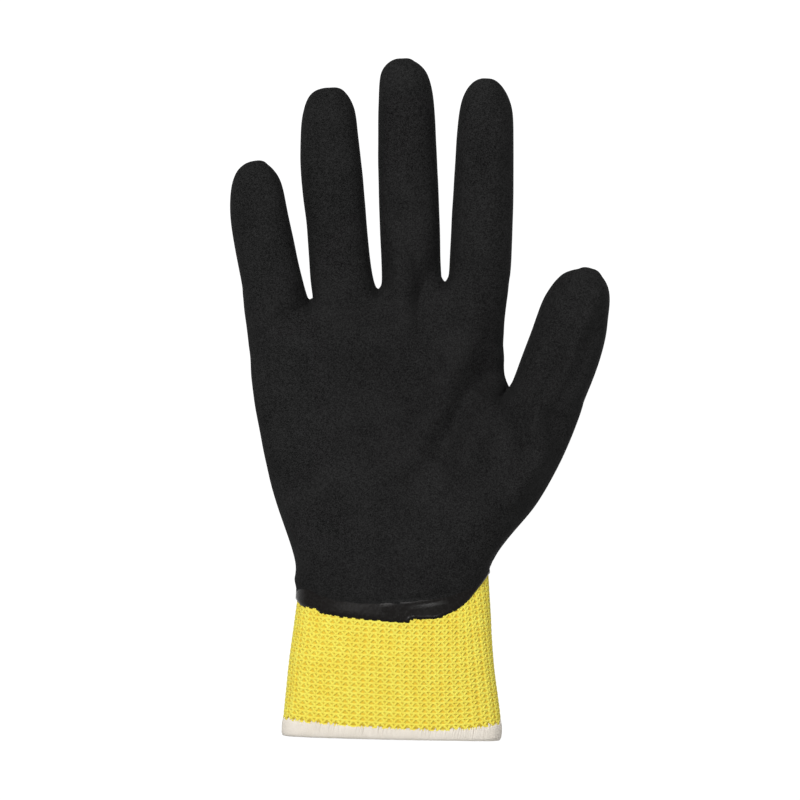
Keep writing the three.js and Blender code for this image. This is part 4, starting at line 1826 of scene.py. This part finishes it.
def fibre_group() -> bpy.types.NodeTree:
    """Builds the twisted fibres along a strand.

    Returns:
        The group, with a height and a shade for the colour: painted shade where the fine fibres
        lie low, and a tone that drifts at random from place to place.
    """
    graph, given, result = new_group(
        "twisted fibres", {"Yarn": None, "Place": None, "Turns": 3.0}, ("Height", "Drift and painted shade"))
    split = graph.add("ShaderNodeSeparateXYZ", {0: given.outputs["Yarn"]})
    turned = graph.maths("MULTIPLY", split.outputs[0], given.outputs["Turns"])
    plies = graph.maths("MULTIPLY", split.outputs[1], PLIES)
    phase = graph.maths("MULTIPLY", graph.maths("ADD", turned, plies), 2 * math.pi)
    ply = graph.ranged(graph.maths("SINE", phase), -1.0, 1.0)
    fine = graph.noise(given.outputs["Place"], FIBRE_SCALE, detail=2.0, rough=0.7)
    drift = graph.noise(given.outputs["Place"], DRIFT_SCALE, detail=2.0)
    height = graph.maths(
        "ADD", graph.maths("MULTIPLY", ply, PLY_HEIGHT),
        graph.maths("MULTIPLY", fine, FIBRE_HEIGHT))
    shade = graph.maths(
        "ADD", graph.maths("MULTIPLY", fine, FIBRE_PAINTED_SHADE),
        graph.ranged(drift, *NOISE_RANGE, to_high=DRIFT_SHADE))
    graph.tree.links.new(height, result.inputs["Height"])
    graph.tree.links.new(shade, result.inputs["Drift and painted shade"])
    return graph.tree


def grain_group() -> bpy.types.NodeTree:
    """Builds the grain of a dipped rubber.

    Returns:
        The group, with the heights of its grain and its dents and a mottle of lighter and
        darker crumbs.
    """
    graph, given, result = new_group(
        "rubber grain", {"Place": None, "Grain": 2000.0, "Dent": 450.0},
        ("Grain height", "Dent height", "Mottle"))
    crumbs = graph.add("ShaderNodeTexVoronoi", {
        "Vector": given.outputs["Place"], "Scale": given.outputs["Grain"]}, feature="F1")
    fine = graph.add("ShaderNodeSeparateColor", {0: crumbs.outputs["Color"]}).outputs[0]
    height = graph.maths("SUBTRACT", fine, crumbs.outputs["Distance"])
    drawn = graph.add(
        "ShaderNodeMapping", {"Vector": given.outputs["Place"], "Scale": DENT_STRETCH})
    dents = graph.noise(drawn.outputs[0], given.outputs["Dent"], detail=2.0, rough=0.5)
    broad = graph.noise(given.outputs["Place"], BROAD_SCALE, detail=3.0, rough=0.6)
    mottle = graph.maths(
        "ADD", graph.maths("MULTIPLY", fine, CRUMB_MOTTLE),
        graph.maths("MULTIPLY", graph.ranged(broad, *NOISE_RANGE), BROAD_MOTTLE))
    graph.tree.links.new(height, result.inputs["Grain height"])
    graph.tree.links.new(dents, result.inputs["Dent height"])
    graph.tree.links.new(mottle, result.inputs["Mottle"])
    return graph.tree


def new_material(name: str) -> tuple[Graph, bpy.types.Node, bpy.types.Material]:
    """Makes a material with only a Principled shader.

    Args:
        name: The material's name.

    Returns:
        Its graph, its shader and the material.
    """
    material = bpy.data.materials.new(name)
    material.use_nodes = True
    graph = Graph(material.node_tree)
    shader = next(n for n in material.node_tree.nodes if n.type == "BSDF_PRINCIPLED")
    return graph, shader, material


class Finishes:
    """The glove's materials, with the effects that they share."""

    def __init__(self) -> None:
        """Builds the groups, then each material from its finish."""
        self.fibres = fibre_group()
        self.grain = grain_group()
        self.yarn = self.textile(YELLOW_YARN, stranded=True)
        # The ground's colour is partly painted shade of the knit's openings
        self.ground = self.textile(YELLOW_GROUND_AND_PAINTED_SHADE, stranded=False)
        self.thread = self.textile(WHITE_THREAD, stranded=True)
        self.sandy = self.rubber(SANDY_RUBBER)
        self.smooth = self.rubber(SMOOTH_RUBBER)

    def textile(self, finish: YarnFinish, stranded: bool) -> bpy.types.Material:
        """Makes a textile's material.

        Args:
            finish: Its colours and fibres.
            stranded: Whether its pieces are strands with a place along and round the yarn.

        Returns:
            The material.
        """
        graph, shader, material = new_material(finish.name)
        place = graph.add("ShaderNodeTexCoord").outputs["Object"]
        yarn = graph.add("ShaderNodeUVMap", uv_map="yarn").outputs[0] if stranded else place
        fibres = graph.add("ShaderNodeGroup", {
            "Yarn": yarn, "Place": place, "Turns": finish.turns}, node_tree=self.fibres)
        # The deep colour is painted shade where the fibres lie low, mixed with a random drift of
        # tone
        colour = graph.mixed(fibres.outputs["Drift and painted shade"], finish.deep, finish.light)
        graph.tree.links.new(colour, shader.inputs["Base Color"])
        shader.inputs["Roughness"].default_value = finish.roughness
        shader.inputs["Sheen Weight"].default_value = finish.sheen
        shader.inputs["Specular IOR Level"].default_value = finish.specular
        bump = graph.add("ShaderNodeBump", {
            "Height": fibres.outputs["Height"], "Strength": finish.relief,
            "Distance": finish.fuzz})
        graph.tree.links.new(bump.outputs[0], shader.inputs["Normal"])
        return material

    def rubber(self, finish: RubberFinish) -> bpy.types.Material:
        """Makes a rubber's material.

        Args:
            finish: Its greys, grain and gloss.

        Returns:
            The material.
        """
        graph, shader, material = new_material(finish.name)
        place = graph.add("ShaderNodeTexCoord").outputs["Object"]
        grain = graph.add("ShaderNodeGroup", {
            "Place": place, "Grain": 1 / (finish.grain * MM), "Dent": 1 / (finish.dent * MM)},
            node_tree=self.grain)
        colour = graph.mixed(grain.outputs["Mottle"], finish.low, finish.high)
        graph.tree.links.new(colour, shader.inputs["Base Color"])
        rough = graph.ranged(grain.outputs["Mottle"], 0.0, 1.0, *finish.roughness)
        graph.tree.links.new(rough, shader.inputs["Roughness"])
        shader.inputs["Specular IOR Level"].default_value = finish.specular
        dents = graph.add("ShaderNodeBump", {
            "Height": grain.outputs["Dent height"], "Strength": 1.0,
            "Distance": finish.dent_depth})
        bump = graph.add("ShaderNodeBump", {
            "Height": grain.outputs["Grain height"], "Strength": 1.0,
            "Distance": finish.grain_depth, "Normal": dents.outputs[0]})
        graph.tree.links.new(bump.outputs[0], shader.inputs["Normal"])
        return material


# The studio


@dataclass(frozen=True)
class Lamp:
    """A soft box: where it hangs, where it points, its size in metres and its power."""

    name: str
    place: tuple[float, float, float]
    aim: tuple[float, float, float]
    size: float
    power: float


@dataclass
class Studio:
    """A white floor, soft light and a camera straight above the palm."""

    photo_size: int = 800
    pixel: float = 0.3655 * MM
    origin_pixel: tuple[float, float] = (418.5, 399.0)
    view_height: float = 3.0
    palm_height: float = 0.015
    sensor: float = 36.0
    far: float = 20.0
    floor_size: float = 3.0
    floor_drop: float = 0.0002
    floor_grey: float = 0.05
    floor_mottle: float = 0.01
    floor_roughness: float = 0.9
    mottle_scale: float = 6.0
    floor_glow: float = 1.0
    sky: float = 0.31
    lamps: tuple[Lamp, ...] = (
        Lamp("key_light", (-0.36, 0.6, 1.58), (0.0, 0.0, 0.0), 1.2, 44.5),
        Lamp("wrist_light", (0.5, -0.9, 1.4), (0.0, -0.06, 0.0), 0.12, 5.5),
    )

    def floor(self) -> None:
        """Lays the floor just under the glove."""
        half = self.floor_size / 2
        mesh = bpy.data.meshes.new("studio_floor")
        corners = ((-half, -half), (half, -half), (half, half), (-half, half))
        mesh.from_pydata([(x, y, -self.floor_drop) for x, y in corners], [], [(0, 1, 2, 3)])
        graph, shader, material = new_material("studio_floor")
        place = graph.add("ShaderNodeTexCoord").outputs["Object"]
        tone = graph.noise(place, self.mottle_scale, detail=2.0)
        low, high = grey(self.floor_grey), grey(self.floor_grey + self.floor_mottle)
        graph.tree.links.new(graph.mixed(tone, low, high), shader.inputs["Base Color"])
        shader.inputs["Roughness"].default_value = self.floor_roughness
        shader.inputs["Specular IOR Level"].default_value = 0.0
        shader.inputs["Emission Color"].default_value = (1, 1, 1, 1)
        shader.inputs["Emission Strength"].default_value = self.floor_glow
        mesh.materials.append(material)
        floor = linked("studio_floor", mesh)

    def light(self) -> None:
        """Hangs the lamps and sets the sky."""
        world = bpy.data.worlds.new("studio")
        world.use_nodes = True
        sky = world.node_tree.nodes["Background"]
        sky.inputs["Color"].default_value = (1, 1, 1, 1)
        sky.inputs["Strength"].default_value = self.sky
        bpy.context.scene.world = world
        for lamp in self.lamps:
            data = bpy.data.lights.new(lamp.name, "AREA")
            data.shape = "SQUARE"
            data.size = lamp.size
            data.energy = lamp.power
            hung = linked(lamp.name, data)
            hung.location = lamp.place
            aim = Vector(lamp.aim) - Vector(lamp.place)
            hung.rotation_mode = "QUATERNION"
            hung.rotation_quaternion = aim.to_track_quat("-Z", "Y")

    def camera(self) -> None:
        """Sets the camera so that a pixel of the photo is a pixel of the render."""
        data = bpy.data.cameras.new("camera")
        data.sensor_width = self.sensor
        width = self.photo_size * self.pixel
        data.lens = data.sensor_width * (self.view_height - self.palm_height) / width
        data.clip_end = self.far
        camera = linked("camera", data)
        middle = self.photo_size / 2
        x = (middle - self.origin_pixel[0]) * self.pixel
        y = (self.origin_pixel[1] - middle) * self.pixel
        camera.location = (x, y, self.view_height)
        bpy.context.scene.camera = camera

    def set_up(self) -> None:
        """Builds the studio, with plain colours as the photo has them."""
        self.floor()
        self.light()
        self.camera()
        bpy.context.scene.view_settings.view_transform = "Standard"


def main() -> None:
    """Dresses the glove's frame and sets up the studio."""
    logging.basicConfig(level=logging.INFO, format="%(name)s %(message)s")
    finishes = Finishes()
    cage = HandCage()
    hand = SmoothHand(cage)
    surface = hand.surface(level=2)
    fine = hand.surface(level=3)
    coats = Coats()
    coats.dress(surface, fine, finishes)
    knit = Knit(cage, fine, coats.smooth_depth(fine))
    knit.dress(finishes)
    knit.line(surface, finishes)
    Hem(knit).dress(finishes)
    Studio().set_up()


if __name__ == "__main__":
    main()
